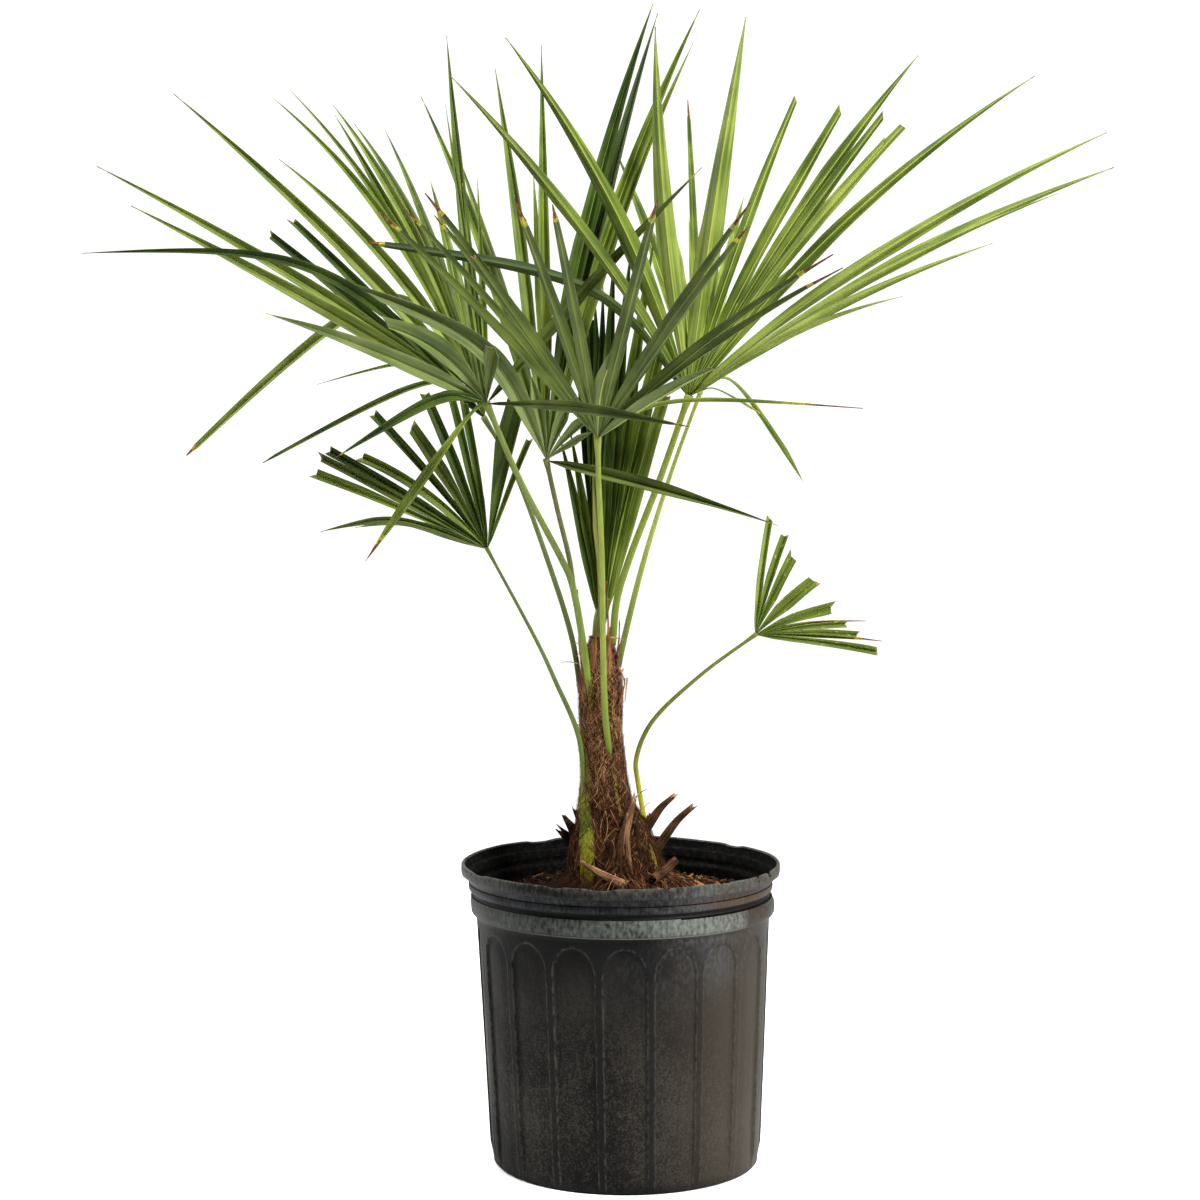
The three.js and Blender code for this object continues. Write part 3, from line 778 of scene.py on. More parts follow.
def trunk_bark():
    top = TRUNK[-1][0]
    shape = bmesh.new()

    def place(ring, turn):
        height = TRUNK_FOOT - 3 + (top + 5) * ring / BARK_RINGS
        spiral = Vector((math.sin(turn) * 2.2, math.cos(turn) * 2.2, height * 0.028))
        left = bumpy(turn * 6 + height * 0.11, height * 0.035, 2)
        right = bumpy(turn * 6 - height * 0.13, height * 0.035, 9)
        lump = noise.noise(spiral)
        radius, across = trunk_at(height)
        share = living_share(turn, height)
        mat = 1.3 * lump + 1.1 * max(left, right)
        reach = radius - 1.0 + mat * (1 - share) + 1.6 * share
        return Vector((across + reach * math.sin(turn), -reach * math.cos(turn), height)) * MM

    tube(shape, BARK_RINGS, BARK_SIDES, place)
    living = []
    for vert in shape.verts:
        height = vert.co.z / MM
        across = trunk_at(height)[1]
        living.append(living_share(math.atan2(vert.co.x / MM - across, -vert.co.y / MM), height))
    piece = link_piece("trunk_bark", shape, [bark_finish()], "trunk")
    add_values(piece, "living", living)


STRAND_COUNT = 12500
STRAND_STEPS = 6
MAT_COUNT = 1900


def strand(shape, lines, index, width, place):
    """One flat thread: place(share, side) says where its edges are along its length."""
    made = sheet(shape, 1, STRAND_STEPS)
    for face in faces_at(made):
        face.material_index = index
        for loop in face.loops:
            loop[lines].uv = (loop.vert.co.x * width * MM, loop.vert.co.y * 0.03 + index)
    for vert in made:
        vert.co = place(vert.co.y + 0.5, vert.co.x * width)


def trunk_strand(shape, lines):
    """A thread on the trunk's skin that slants across it and may stand off it at its end."""
    height = TRUNK_FOOT + 1 + 238 * random.random() ** 1.15
    turn = random.uniform(0, math.tau)
    if living_share(turn, height) > 0.3 and random.random() < 0.88:
        return
    radius, _right = trunk_at(height)
    length = random.uniform(8, 34)
    slant = random.choice((-1, 1)) * random.uniform(0.3, 1.4)
    if height > TRUNK_FOOT + 195:
        slant = random.choice((-1, 1)) * random.uniform(0.6, 1.5)
        length = random.uniform(8, 24)
    bow = random.uniform(-1.0, 1.0)
    root_lift = random.uniform(0.0, 1.5)
    end_lift = root_lift + random.choice((0.0, 0.3, 0.8, random.uniform(0.5, 4.5)))
    light = smoothstep(275, 450, height)
    weights = (0.60 - 0.42 * light, 0.30, 0.08 + 0.24 * light, 0.02 + 0.18 * light)
    index = random.choices((0, 1, 2, 3), weights)[0]

    def place(share, side):
        lean = slant + bow * share
        at = min(height + length * share * math.cos(lean), TRUNK_FOOT + 243)
        around = turn + (length * share * math.sin(lean) + side) / radius
        return on_trunk(around, at, root_lift + (end_lift - root_lift) * share ** 3)

    strand(shape, lines, index, random.choice((0.25, 0.35, 0.45, 0.6)), place)


def mat_strand(shape, lines):
    """A thread of the tangle round the trunk's foot, which spreads over the potting mix."""
    turn = math.radians(random.choice((random.uniform(-180, 180), random.gauss(50, 42))))
    foot = TRUNK_FOOT + random.uniform(2, 26)
    radius, right = trunk_at(foot)
    spread = random.uniform(6, 34)
    swing = random.uniform(-16, 16)
    curl = random.uniform(-3, 3)
    arch = random.uniform(-2, 11)
    # Threads on the left side, away from the lamp, all take the dark fibre: painted shade.
    index = 0 if math.sin(turn) < -0.2 else random.choices((0, 1, 2, 3), (0.52, 0.32, 0.13, 0.03))[0]

    def place(share, side):
        reach = radius - 1 + spread * share
        around = turn + (swing * share + curl * math.sin(share * 7) + side) / radius
        x = (right + reach * math.sin(around)) * MM
        y = -reach * math.cos(around) * MM
        ground = soil_height(x, y) / MM + 1
        level = ground + (foot - ground) * (1 - share) ** 1.6 + arch * math.sin(share * 3)
        return Vector((x, y, max(level, ground) * MM))

    strand(shape, lines, index, random.choice((0.3, 0.45, 0.6)), place)


def trunk_fibres():
    """Threads that lie criss-cross on the trunk and tangle round its foot."""
    finishes = [
        woody_finish("dark fibre", (26, 11, 5), (6, 2, 1)),
        woody_finish("brown fibre", (95, 36, 14), (34, 12, 5)),
        woody_finish("tan fibre", (245, 125, 56), (105, 48, 21)),
        woody_finish("pale fibre", (400, 225, 105), (230, 115, 50)),
    ]
    shape = bmesh.new()
    in_batches(shape, STRAND_COUNT, trunk_strand)
    in_batches(shape, MAT_COUNT, mat_strand)
    link_piece("trunk_fibres", shape, finishes, "trunk")


# Old leaf bases: the places they pass, half widths at the foot and the end, flatness and finish
LEAF_BASES = [
    ([(20, 0, 310), (37, 0, 336), (50, 0, 348)], 4.6, 2.2, 0.6, 1),
    ([(28, 8, 285), (53, 10, 322), (68, 10, 336)], 4.8, 2.5, 0.6, 1),
    ([(-28, 2, 290), (-44, 1, 303), (-57, 0, 315)], 11, 3, 0.45, 0),
    ([(-30, -8, 300), (-42, -6, 313), (-51, -5, 325)], 9, 2.4, 0.45, 0),
    ([(-26, 0, 314), (-37, 0, 324), (-43, 0, 334)], 7, 2, 0.45, 0),
    ([(-38, -34, 291), (-20, -48, 282), (1, -58, 272)], 1.6, 6.0, 0.35, 2),
    ([(52, -14, 290), (42, -34, 283), (30, -48, 277)], 3.0, 5.0, 0.4, 1),
    ([(9, -42, 268), (5, -39, 318), (12, -31, 350)], 4.6, 2.0, 0.5, 2),
    ([(-2, -46, 266), (-3, -42, 300), (5, -36, 335)], 5, 1.6, 0.45, 1),
    ([(18, -38, 268), (16, -34, 300), (15, -30, 330)], 5, 1.6, 0.45, 0),
    ([(-6, 30, 290), (-10, 46, 308), (-12, 58, 330)], 7, 2.5, 0.5, 1),
    ([(14, 26, 290), (22, 36, 304), (28, 44, 322)], 6, 2.5, 0.5, 0),
]
BASE_STEPS = 24


def leaf_bases():
    finishes = [
        # The dark leaf base is partly the stubs' own darker brown and partly painted shade on the stubs on
        # the left, away from the lamp, and on two low ones in front and behind.
        woody_finish("dark leaf base", (50, 25, 12), (8, 4, 2)),
        woody_finish("brown leaf base", (90, 42, 20), (14, 6, 3)),
        woody_finish("tan leaf base", (300, 165, 80), (55, 25, 12)),
        woody_finish("broken wood", (560, 310, 150), (280, 130, 55)),
    ]
    shape = bmesh.new()
    for points, foot, end, flatness, index in LEAF_BASES:
        route = smooth_route([Vector(point) * MM for point in points], BASE_STEPS)
        frames = frames_along(route, Vector((0.2, 1, 0.1)))
        seed = random.uniform(0, 90)
        along = (route[-1] - route[-2]).normalized()

        def place(step, turn):
            here, side, front = frames[step]
            share = step / BASE_STEPS
            half = (foot + (end - foot) * share) * MM
            ring = Vector((math.cos(turn), math.sin(turn), 0))
            ridge = 1 + 0.55 * noise.noise(ring * 2.4 + Vector((seed, 0, share * 1.2)))
            spot = here + side * (half * ridge * math.cos(turn))
            spot = spot + front * (half * flatness * ridge * math.sin(turn))
            splinter = smoothstep(0.8, 1, share) * 0.011 * noise.noise(ring * 3.1 + Vector((seed, 5, 0)))
            return spot + along * splinter

        tube(shape, BASE_STEPS, 20, place, index, 0.03, 0.06)
    for face in shape.faces:
        if len(face.verts) > 4 and face.calc_center_median().z > 0.315 and face.material_index == 1:
            face.material_index = 3
    link_piece("leaf_bases", shape, finishes, "trunk")


SHEATH_THICKNESS = 0.0004
SHEATHS_MIDDLE = Vector((-19.5, 0, 0))

# Papery sheaths round the trunk's top, each from its foot to its tip, with its width
SHEATHS = [
    ((-37, -10, 474), (-40, -15, 545), 6), ((-27, -17, 466), (-23, -18, 513), 13),
    ((-12, -18, 462), (-11, -19, 510), 12), ((-12, -12, 484), (-14, -16, 553), 5),
    ((-4, -9, 462), (-3, -10, 498), 10), ((-36, 2, 460), (-39, 5, 508), 11),
    ((-19, 15, 466), (-20, 19, 524), 13), ((-5, 9, 462), (-2, 14, 514), 11),
    ((-31, 11, 462), (-35, 16, 506), 10), ((-33, -14, 440), (-37, -19, 474), 9),
    ((-3, -12, 430), (3, -17, 462), 9),
]

# Loose spines and curled threads near the top: start, end and half thickness
SPINES = [
    ((-39, -8, 474), (-56, -10, 476), 0.5), ((-10, -16, 500), (3, -18, 497), 0.6),
    ((-36, -14, 494), (-44, -16, 494), 0.6), ((-34, -12, 487), (-42, -15, 482), 0.4),
    ((-2, -14, 472), (4, -18, 456), 0.9), ((2, -12, 470), (-8, -22, 445), 0.8),
    ((6, -13, 462), (4, -16, 440), 0.7), ((-36, -8, 415), (-43, -9, 417), 0.7),
    ((14, -22, 350), (24, -24, 358), 0.5), ((18, -26, 335), (27, -24, 346), 0.4),
]


def sheath(shape, lines, foot, tip, width):
    """A ragged strip that narrows to its tip and is hollow towards the trunk's middle."""
    out = (foot - SHEATHS_MIDDLE) * Vector((1, 1, 0))
    across = Vector((0, 0, 1)).cross(out).normalized()
    out.normalize()
    made = sheet(shape, 6, 14)
    for face in faces_at(made):
        for loop in face.loops:
            loop[lines].uv = (loop.vert.co.x * width * MM, loop.vert.co.y * 0.05)
    for vert in made:
        share = vert.co.y + 0.5
        taper = 0.78 * max(0.03, 1 - share ** 0.95)
        side = vert.co.x * width * taper
        ragged = 1.3 * bumpy(vert.co.x * 5, share * 6, foot.x)
        hollow = -side * side * 0.07 + 1.5 * math.sin(share * 2.6)
        vert.co = (foot.lerp(tip, share) + across * side + out * (hollow + ragged)) * MM


def spine(shape, start, end, half):
    """A thread that bows and thins towards its end."""
    frames = frames_along([start.lerp(end, step / 6) for step in range(7)], Vector((0, 1, 0.3)))

    def place(step, turn):
        here, side, front = frames[step]
        thin = half * (1 - 0.8 * step / 6)
        bow = (end - start).length * 0.22 * math.sin(math.pi * step / 6)
        return here + front * (bow + thin * math.sin(turn)) + side * (thin * math.cos(turn))

    tube(shape, 6, 6, place, 1)


def sheaths():
    finishes = [
        woody_finish("papery sheath", (260, 115, 50), (50, 20, 10)),
        woody_finish("pale spine", (480, 300, 170), (190, 100, 55)),
    ]
    shape = bmesh.new()
    lines = grain_map(shape)
    for foot, tip, width in SHEATHS:
        sheath(shape, lines, Vector(foot), Vector(tip), width)
    for start, end, half in SPINES:
        spine(shape, Vector(start) * MM, Vector(end) * MM, half * MM)
    piece = link_piece("sheaths", shape, finishes, "trunk")
    thicken(piece, SHEATH_THICKNESS)


# Fronds, in millimetres. A stalk runs through its points to the hub, and a fan looks the way of
# faces. A leaf is the place of its tip from the hub, its droop and its width, its shade, and the
# lengths of its yellow and brown ends. Cut leaves end square and have no brown end, and a bent leaf
# has its bend in place of the droop, and first. A last word names an outline of its own, or for a
# cut leaf the share of its width that is left at its end.
FRONDS = {
    "front": dict(
        hub=(-22, -120, 688), thick=(3, 2.4), faces=(0, -0.5, -0.85), fold=-1, cut_share=0.3,
        stalk=[
            (-8, -14, 372), (-12, -20, 399), (-15, -27, 430), (-17, -48, 500), (-18, -80, 576),
            (-21, -108, 649),
        ],
        leaves=[
            (-176, -210, 182, 4, 11, "under", 6, 22), (-153, -230, 182, 4, 10, "under", 6, 18),
            (-135, -260, 192, 4, 12, "under", 8, 26), (-128, -255, 175, 4, 9, "under", 7, 14),
            (-63, -310, 183, 4, 12, "under", 9, 30), (-34, -320, 178, 4, 11, "under", 8, 20),
            (46, -310, 182, 4, 13, "under", 8, 24), (119, -280, 183, 4, 12, "under", 6, 32),
            (118, -270, 165, 4, 12, "under", 6, 20), (189, -220, 147, 8, 12, "under", 6, 38),
            (198, -210, 137, 8, 11, "under", 6, 40),
        ],
        cut=[
            (-100, -210, 146, 2, 13, "under", 3), (-90, -180, 135, 2, 13, "under", 3),
            (97, -140, 58, 4, 14, "waxy", 2),
        ],
        bent=[
            ((1, -70, 45), (19, -120, 84), 17, "waxy", 3, 1),
            ((50, -55, 38), (229, -70, 25), 7, "fresh", 20, 50),
        ],
    ),
    "right": dict(
        hub=(61, -60, 724), thick=(3.4, 2.8), faces=(0, -1, 0), fold=-1, cut_share=0.45,
        stalk=[(-8, -4, 492), (-4, -14, 535), (7, -26, 573), (35, -46, 648)],
        leaves=[
            (-211, -90, 278, 13, 16, "mid", 5, 0), (-163, -90, 311, 19, 18, "mid", 5, 1),
            (-30, 40, 340, -10, 21, "fresh", 3, 5), (54, 50, 351, 3, 23, "fresh", 6, 0),
            (212, 40, 314, 10, 20, "mid", 6, 1), (313, 0, 290, 20, 14, "mid", 3, 7),
            (375, -20, 237, 17, 15, "fresh", 4, 2), (378, -40, 204, 17, 15, "fresh", 3, 6),
            (323, -80, 178, 15, 9, "fresh", 6, 0), (258, -120, 131, 12, 10, "fresh", 6, 0),
            (177, -150, 84, 12, 7, "fresh", 6, 0),
        ],
        cut=[
            (101, 60, 277, 5, 11, "mid", 1), (141, 40, 264, 4, 16, "mid", 1), (178, 20, 257, 5, 13, "mid", 1),
            (177, 0, 230, 6, 14, "fresh", 1), (194, 0, 245, 8, 15, "fresh", 2),
        ],
        bent=[((-67, 10, 110), (-293, 10, 141), 13, "deep", 5, 12)],
    ),
    "right_back": dict(
        hub=(76, 45, 730), thick=(3, 1.7), faces=(0, -0.5, 0.85), fold=1,
        stalk=[(-4, 16, 462), (3, 21, 495), (22, 30, 570), (49, 40, 656)],
        leaves=[
            (-79, 335, 264, 8, 17, "mid", 5, 2), (-35, 375, 247, 8, 17, "fresh", 5, 0),
            (-4, 255, 308, 2, 9, "mid", 4, 28), (0, 335, 193, 6, 10, "fresh", 5, 0),
            (35, 355, 196, 8, 15, "mid", 5, 3), (60, 345, 215, 8, 15, "fresh", 5, 0),
            (92, 315, 177, 10, 16, "mid", 5, 4), (116, 275, 141, 12, 14, "mid", 5, 0),
        ],
        bent=[
            ((30, 65, 30), (107, 105, -88), 13, "fresh", 8, 0, "late"),
            ((13, 35, 8), (62, 75, -20), 10, "fresh", 16, 0, "late"),
        ],
    ),
    "left_centre": dict(
        hub=(-69, -50, 666), thick=(2.6, 2.2), faces=(0, -0.95, 0.3), fold=1,
        stalk=[(-31, -10, 474), (-43, -22, 536), (-48, -30, 573), (-59, -42, 620)],
        leaves=[
            (-127, 190, 355, 16, 14, "mid", 3, 9), (-91, 210, 298, 8, 15, "mid", 4, 2),
            (-52, 140, 376, 9, 15, "mid", 3, 2), (-7, 130, 396, 8, 13, "mid", 2, 7),
            (-17, 200, 286, 6, 12, "fresh", 5, 0), (100, 110, 433, 18, 19, "deep", 7, 0),
            (104, 110, 423, 8, 17, "deep", 3, 7), (143, 90, 423, 16, 17, "mid", 5, 7),
            (137, 90, 392, 13, 14, "fresh", 8, 3), (205, -120, -55, 3, 13, "under", 9, 0, "tail"),
            (-14, -20, 78, 2, 20, "waxy", 0, 0), (26, -20, 62, 2, 19, "waxy", 0, 0),
            (47, -20, 48, 2, 18, "waxy", 0, 0), (42, -10, 26, 2, 13, "waxy", 0, 0),
        ],
        bent=[((-43, -40, 111), (-200, -90, 166), 20, "waxy", 5, 1)],
    ),
    "left": dict(
        hub=(-123, -70, 718), thick=(3.4, 2.6), faces=(0, -1, 0.2), fold=1, cut_share=0.6,
        stalk=[(-29, -14, 441), (-36, -24, 498), (-47, -38, 556), (-55, -42, 574), (-93, -60, 648)],
        leaves=[
            # The first three take the lighter fresh green in place of their own mid green: painted light.
            (-278, -20, 276, 8, 13, "fresh", 3, 7), (-344, -40, 210, 8, 13, "fresh", 5, 7),
            (-305, -90, 171, 4, 15, "fresh", 7, 6), (-174, -200, 73, 6, 17, "waxy", 9, 0),
            (195, -10, 212, 3, 12, "under", 12, 6), (-45, 170, 356, -9, 13, "mid", 5, 6),
            (-26, 90, 207, 3, 7, "mid", 3, 0), (-12, 90, 212, 3, 7, "mid", 3, 0),
            (-43, 110, 283, 3, 7, "mid", 3, 0), (-201, 110, 232, 16, 12, "fresh", 4, 0),
        ],
        cut=[(-80, -100, 66, 12, 22, "waxy", 1), (8, -40, 48, 3, 18, "waxy", 2, 0.95)],
        bent=[
            ((-139, -120, 136), (-342, -120, 128), 11, "deep", 5, 8),
            ((-35, -50, 14), (-126, -120, -48), 11, "deep", 6, 7),
            ((-9, -30, 0), (-100, -120, -137), 10, "mid", 8, 24, "late"),
            ((82, -190, -2), (177, -240, -21), 11, "under", 4, 13, "late"),
        ],
    ),
    "left_back": dict(
        hub=(-131, 60, 705), thick=(2.7, 2.1), faces=(0, -0.9, 0.4), fold=1, cut_share=0.6,
        stalk=[(-38, 14, 445), (-46, 22, 494), (-70, 38, 570), (-105, 52, 661)],
        leaves=[
            (-214, 100, 318, 28, 12, "fresh", 5, 1), (-200, 130, 329, 24, 10, "fresh", 4, 0),
            # The leaf at -160 takes the lighter fresh green in place of its own mid green: painted light.
            (-160, 160, 318, 22, 15, "fresh", 5, 0), (-154, 120, 303, 10, 15, "mid", 4, 1),
            (-141, 190, 302, 24, 14, "mid", 2, 7), (-112, 220, 299, 16, 12, "mid", 4, 0),
            (-72, 320, 257, 9, 16, "mid", 4, 0), (-41, 340, 237, 9, 16, "fresh", 4, 0),
        ],
        cut=[(-190, 60, 193, 3, 12, "deep", 1), (-209, 40, 178, 3, 12, "deep", 1)],
        bent=[
            ((-84, 140, 175), (-319, 200, -38), 14, "fresh", 5, 13),
            ((-38, 90, 58), (-232, 140, -45), 8, "mid", 2, 12),
            ((-49, 120, 71), (-178, 160, 35), 6, "fresh", 3, 10),
        ],
    ),
    "low_left": dict(
        hub=(-125, -20, 583), thick=(2.8, 1.4), faces=(0, -1, 0.1), fold=1, cut_share=0.85,
        stalk=[(-35, -10, 324), (-35, -12, 363), (-40, -14, 407), (-62, -18, 460), (-76, -20, 491)],
        cut=[
            (-158, -20, 71, 2, 12, "mid", 1), (-154, -10, 86, 2, 9, "under", 1),
            (-147, 0, 92, 2, 11, "deep", 1), (-118, 10, 86, 10, 15, "mid", 1),
            (-107, 20, 126, 2, 11, "deep", 1), (-71, 10, 113, 2, 14, "under", 1),
            (-59, 30, 145, 2, 11, "deep", 1), (-35, 40, 141, 2, 9, "deep", 1),
            (-23, 40, 137, 2, 9, "deep", 1), (39, 10, 102, 2, 7, "mid", 1), (38, -40, 148, 0, 33, "deep", 0),
        ],
        bent=[
            ((-81, -20, 36), (-151, -40, 18), 11, "under", 4, 3),
            ((-73, -10, 29), (-121, -20, 21), 9, "waxy", 4, 3),
        ],
    ),
    "low_right": dict(
        hub=(126, -10, 502), thick=(2.4, 1.6), faces=(0, -1, 0.1), fold=1, cut_share=0.95,
        stalk=[(22, -8, 328), (16, -10, 363), (14, -10, 382), (27, -12, 417), (72, -12, 462)],
        leaves=[(104, 0, 13, 4, 5, "fresh", 30, 26), (118, -10, -5, 2, 5, "fresh", 30, 18)],
        cut=[
            (14, 10, 109, 2, 7, "fresh", 9), (28, 10, 93, 2, 8, "fleck", 2), (35, 10, 74, 2, 12, "fleck", 2),
            (55, 5, 51, 2, 13, "fleck", 2), (72, 0, 26, 2, 12, "fleck", 2), (85, -5, 11, 2, 9, "fleck", 2),
            (95, -10, 1, 2, 8, "fleck", 2), (113, -15, -14, 2, 9, "fleck", 8),
        ],
    ),
    "centre": dict(
        hub=(-15, 8, 534), roots=(-18, 5, 508), thick=(4.6, 4), faces=(0, -1, 0), fold=1, least_gap=3.2,
        least_half=3, cut_share=0.7,
        stalk=[(-23, 2, 494), (-21, 6, 519)],
        leaves=[
            (-44, 22, 158, 2, 12, "deep", 0, 0), (-34, 22, 164, 2, 12, "mid", 0, 0),
            (-10, 12, 292, 2, 18, "deep", 3, 0), (-2, 12, 299, 2, 18, "deep", 3, 0),
            (9, 7, 332, 2, 19, "deep", 4, 2), (25, 12, 334, 3, 20, "deep", 4, 0),
            (47, 22, 344, 4, 20, "mid", 4, 0), (-12, -6, 128, 2, 14, "olive", 2, 1),
        ],
        cut=[
            (-25, 22, 255, 2, 18, "deep", 1), (-16, 12, 266, 2, 18, "deep", 1),
            (56, 22, 255, 4, 18, "mid", 1), (56, 22, 193, 4, 17, "fresh", 2),
        ],
    ),
}

# Across a leaf: place from one edge at -1 to the other at 1, and depth from the rib at 0 to 1
LEAF_SECTION = [
    (-1, 1), (-0.96, 0.98), (-0.5, 0.62), (-0.055, 0.02), (0.055, 0.02), (0.5, 0.62), (0.96, 0.98), (1, 1),
]
RIB_COLUMN = 3
RIB_EDGES = (3, 4)
FOLD_COSINE = math.cos(math.radians(37))
WEB_START = 0.001
PLEAT_STEEPNESS = 0.85
WEB_LIFT = 0.002
WIDEST_GAP = 9
LEAF_THICKNESS = 0.0006
LEAF_STEPS = 34
BENT_LEAF_STEPS = 46
BEND_WEIGHT = 2.5
BROADEST = 0.36
SCORCHED_OVER = 0.010

LEAF_PARTS = "bend tip weight width shade yellow brown outline cut_share"
Leaf = namedtuple("Leaf", LEAF_PARTS, defaults=("pointed", 0))


def leaf_routes(frond):
    """Where a frond's leaves start, and each of them in metres."""
    hub = Vector(frond["hub"]) * MM
    start = Vector(frond.get("roots", frond["hub"])) * MM
    found = []
    for x, y, z, droop, width, shade, yellow, brown, *outline in frond.get("leaves", []):
        tip = hub + Vector((x, y, z)) * MM
        bend = drooping(start, tip, droop * MM)
        found.append(Leaf(bend, tip, 1, width * MM, shade, yellow * MM, brown * MM, *outline))
    for x, y, z, droop, width, shade, yellow, *share in frond.get("cut", []):
        tip = hub + Vector((x, y, z)) * MM
        bend = drooping(start, tip, droop * MM)
        kept = share[0] if share else frond["cut_share"]
        found.append(Leaf(bend, tip, 1, width * MM, shade, yellow * MM, 0, "cut", kept))
    for bend, tip, width, shade, yellow, brown, *outline in frond.get("bent", []):
        bend = hub + Vector(bend) * MM
        tip = hub + Vector(tip) * MM
        found.append(Leaf(bend, tip, BEND_WEIGHT, width * MM, shade, yellow * MM, brown * MM, *outline))
    return start, found


def drooping(start, tip, droop):
    """The place that a leaf's curve is drawn towards, above the middle of its chord."""
    chord = (tip - start).normalized()
    lift = (Vector((0, 0, 1)) - chord * chord.z).normalized()
    return start.lerp(tip, 0.5) + lift * (2 * droop)


def gaps_between(start, faces, leaves, least):
    """For each leaf, half the angle to its neighbour on either side as it leaves the hub."""
    first = faces.orthogonal().normalized()
    second = faces.cross(first)
    turns = [math.atan2((leaf.bend - start).dot(second), (leaf.bend - start).dot(first)) for leaf in leaves]
    order = sorted(range(len(turns)), key=turns.__getitem__)
    gaps = [[0, 0] for _ in turns]
    for here, after in zip(order, order[1:] + order[:1]):
        gap = (turns[after] - turns[here]) % math.tau / 2 if here != after else math.pi
        gap = min(math.radians(WIDEST_GAP), max(math.radians(least), gap))
        gaps[here][0] = gap
        gaps[after][1] = gap
    return gaps


def width_share(share, leaf, dead):
    """A leaf's width along its length, as a share of its widest. It is dead beyond a share of it."""
    if leaf.outline == "cut":
        narrowing = (1 - leaf.cut_share) * smoothstep(0.55, 1.05, share)
        return 0.5 + 0.5 * smoothstep(0, 0.5, share) - narrowing
    if leaf.outline == "late":
        if share < 0.62:
            return 0.3 + 0.7 * smoothstep(0.1, 0.62, share)
        return max(0.03, 1 - ((share - 0.62) / 0.38) ** 1.5)
    if leaf.outline == "tail":
        shoulder = 1 - 0.68 * smoothstep(0.45, 0.84, share)
        swelling = 0.5 + 0.5 * smoothstep(0, BROADEST, share)
        return max(0.03, shoulder * swelling - 0.28 * smoothstep(0.78, 1, share))
    if share < BROADEST:
        return 0.5 + 0.5 * smoothstep(0, BROADEST, share)
    if leaf.brown > SCORCHED_OVER:
        if share < dead:
            return 1 - 0.58 * ((share - BROADEST) / (dead - BROADEST)) ** 1.5
        return 0.42 - 0.34 * ((share - dead) / (1 - dead)) ** 0.6
    return max(0.04, 1 - ((share - BROADEST) / (1 - BROADEST)) ** 1.45)


def leaf_route(start, leaf):
    """Places along a leaf's curve, closer together towards its tip."""
    steps = LEAF_STEPS if leaf.weight == 1 else BENT_LEAF_STEPS
    first = WEB_START / (2 * leaf.weight * (leaf.bend - start).length)
    route = []
    for step in range(steps + 1):
        t = first + (1 - first) * math.sin(math.pi / 2 * step / steps)
        shares = ((1 - t) ** 2, 2 * leaf.weight * t * (1 - t), t * t)
        route.append((start * shares[0] + leaf.bend * shares[1] + leaf.tip * shares[2]) / sum(shares))
    return route


def leaf_rings(start, leaf, gaps, faces, least_half):
    """The leaf's cross sections: place, side, front, half widths, fold depth, length and what is left."""
    route = leaf_route(start, leaf)
    lengths = lengths_along(route)
    whole = lengths[-1]
    dead = 1 - leaf.brown / whole
    twist = random.uniform(-0.35, 0.35)
    kink = random.uniform(0.3, 0.5)
    kink_side = random.choice((0, 1))
    rings = []
    for (here, side, front), length in zip(frames_along(route, faces), lengths):
        share = length / whole
        full = leaf.width / 2 * width_share(share, leaf, dead)
        reach = (here - start).length
        flat = min(full / FOLD_COSINE, 0.6 * reach)
        halves = [min(full, max(least_half, reach * math.tan(gap))) for gap in gaps]
        halves[kink_side] *= 1 - 0.13 * smoothstep(kink - 0.015, kink + 0.015, share)
        mean = sum(halves) / 2
        depth = min(math.sqrt(max(0, flat * flat - mean * mean)), PLEAT_STEEPNESS * mean)
        angle = twist * share
        turned = side * math.cos(angle) + front * math.sin(angle)
        raised = front * math.cos(angle) - side * math.sin(angle)
        rings.append((here, turned, raised, halves, depth, length, whole - length))
    return rings


def finish_of_face(leaf, column, left):
    """The finish at a column of a leaf, where so much of its length is left to its end."""
    if leaf.outline == "cut":
        if leaf.shade != "waxy" and left < CUT_EDGE_LENGTH:
            return CUT_EDGE
    elif left < leaf.brown:
        return BROWN
    elif left < leaf.brown + leaf.yellow * 0.55:
        return YELLOW
    elif left < leaf.brown + leaf.yellow * 1.1:
        return YELLOWING
    return RIB[leaf.shade] if column == RIB_COLUMN else SHADE[leaf.shade]


def blade(shape, lines, leaf, rings, fold):
    """One leaf: a strip folded along its rib, pleated into its neighbours near the hub."""
    steps = len(rings) - 1
    slant = random.uniform(-0.35, 0.35)
    notch = random.uniform(0.0, 0.3)
    along = (rings[-1][0] - rings[-2][0]).normalized()
    columns = len(LEAF_SECTION) - 1
    made = sheet(shape, columns, steps)
    places = {}
    for vert in made:
        column = round((vert.co.x + 0.5) * columns)
        ring = round((vert.co.y + 0.5) * steps)
        across, rise = LEAF_SECTION[column]
        here, side, raised, halves, depth, length, _left = rings[ring]
        half = halves[0] if across < 0 else halves[1]
        place = here + side * (across * half) + raised * (fold * depth * (rise - 0.5))
        if leaf.outline == "cut":
            onward = smoothstep(0.8, 1, ring / steps) * leaf.width
            place = place + along * (onward * (slant * across + notch * (abs(across) - 0.5)))
        vert.co = place
        places[vert] = (column, ring, across * half, length)
    for face in faces_at(made):
        column = min(places[vert][0] for vert in face.verts)
        ring = min(places[vert][1] for vert in face.verts)
        left = rings[ring][6] + (0.0015 * math.sin(column * 2.3 + ring) if leaf.yellow else 0)
        face.material_index = finish_of_face(leaf, column, left)
        for loop in face.loops:
            loop[lines].uv = places[loop.vert][2:]
    for edge in {edge for vert in made for edge in vert.link_edges}:
        ends = {places[vert][0] for vert in edge.verts}
        if len(ends) == 1 and ends.pop() in RIB_EDGES:
            edge.smooth = False


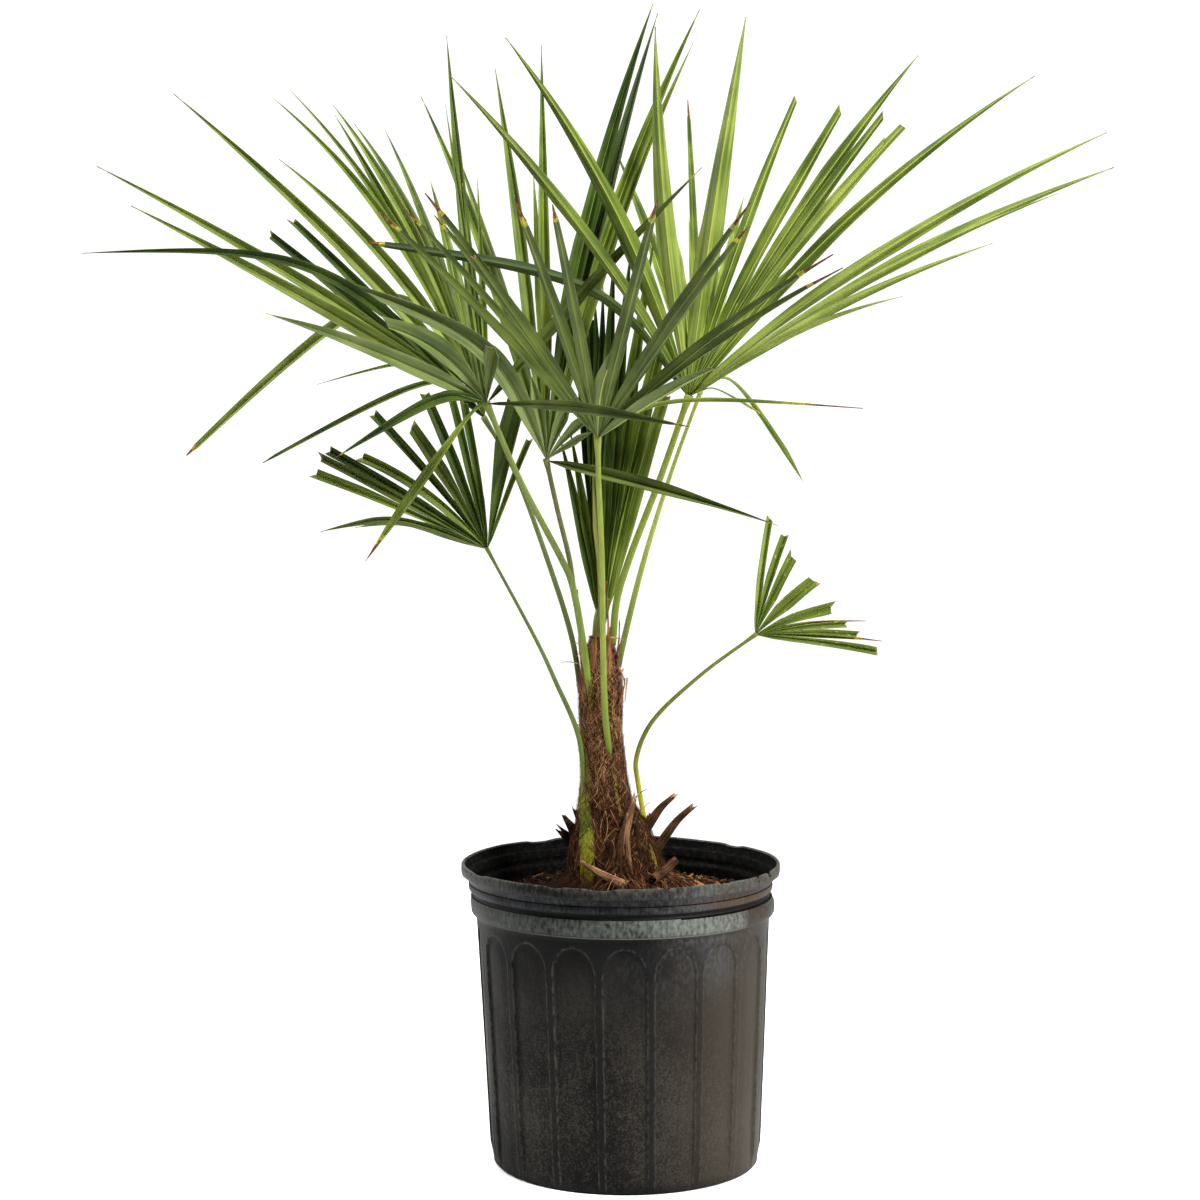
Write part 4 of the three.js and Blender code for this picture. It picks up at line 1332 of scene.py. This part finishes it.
def fan(name, frond):
    start, leaves = leaf_routes(frond)
    faces = Vector(frond["faces"]).normalized()
    least_half = frond.get("least_half", 0) * MM
    shape = bmesh.new()
    lines = grain_map(shape)
    webs = [[leaf for leaf in leaves if (leaf.shade == "waxy") == waxy] for waxy in (False, True)]
    for lift, web in enumerate(webs):
        for leaf, gaps in zip(web, gaps_between(start, faces, web, frond.get("least_gap", 1.6))):
            rings = leaf_rings(start + faces * (lift * WEB_LIFT), leaf, gaps, faces, least_half)
            blade(shape, lines, leaf, rings, frond["fold"])
    piece = link_piece(f"{name}_fan", shape, BLADES, f"fan_{name}")
    thicken(piece, LEAF_THICKNESS)


# Stalk finishes: colour at the top and at the foot, and the heights between which it turns
STALK_COLORS = {
    "front": ((185, 225, 34), (95, 145, 12), 0.38, 0.52),
    "right": ((135, 165, 20), (105, 150, 13), 0.50, 0.66),
    "right_back": ((200, 240, 44), (56, 80, 13), 0.48, 0.62),
    "left_centre": ((105, 108, 34), (68, 92, 14), 0.48, 0.62),
    "left": ((105, 138, 28), (130, 178, 18), 0.46, 0.60),
    "left_back": ((88, 115, 27), (56, 72, 18), 0.46, 0.60),
    "low_left": ((84, 115, 25), (185, 225, 12), 0.30, 0.42),
    "low_right": ((90, 98, 15), (370, 350, 14), 0.35, 0.41),
    "centre": ((120, 145, 29), (84, 92, 22), 0.49, 0.54),
}
STALK_STEPS = 60
STALK_OVERLAP = 0.002
STALK_SIDES = 14


def stalk(name, frond):
    """A smooth half-round stalk that spreads a little where the ribs of its fan leave it."""
    hub = Vector(frond["hub"]) * MM
    points = [Vector(point) * MM for point in frond["stalk"]]
    points.append(hub + (hub - points[-1]).normalized() * STALK_OVERLAP)
    route = smooth_route(points, STALK_STEPS)
    frames = frames_along(route, Vector((0, 1, 0)))
    foot, end = (radius * MM for radius in frond["thick"])
    shape = bmesh.new()

    def place(step, turn):
        here, side, front = frames[step]
        share = step / STALK_STEPS
        half = foot + (end - foot) * smoothstep(0, 1, share)
        half *= 1 + 0.45 * smoothstep(0.93, 1.0, share)
        keel = 0.72 + 0.10 * math.cos(2 * turn) + 0.05 * math.cos(3 * turn)
        return here + side * (half * math.cos(turn)) + front * (half * keel * math.sin(turn))

    tube(shape, STALK_STEPS, STALK_SIDES, place)
    finish = stalk_finish(f"{name} stalk green", *STALK_COLORS[name])
    link_piece(f"{name}_stalk", shape, [finish], f"stalk_{name}")


set_camera()
set_studio()
nursery_pot()
potting_mix()
wood_chips()
trunk_bark()
trunk_fibres()
leaf_bases()
sheaths()
for frond_name, frond_data in FRONDS.items():
    stalk(frond_name, frond_data)
    fan(frond_name, frond_data)
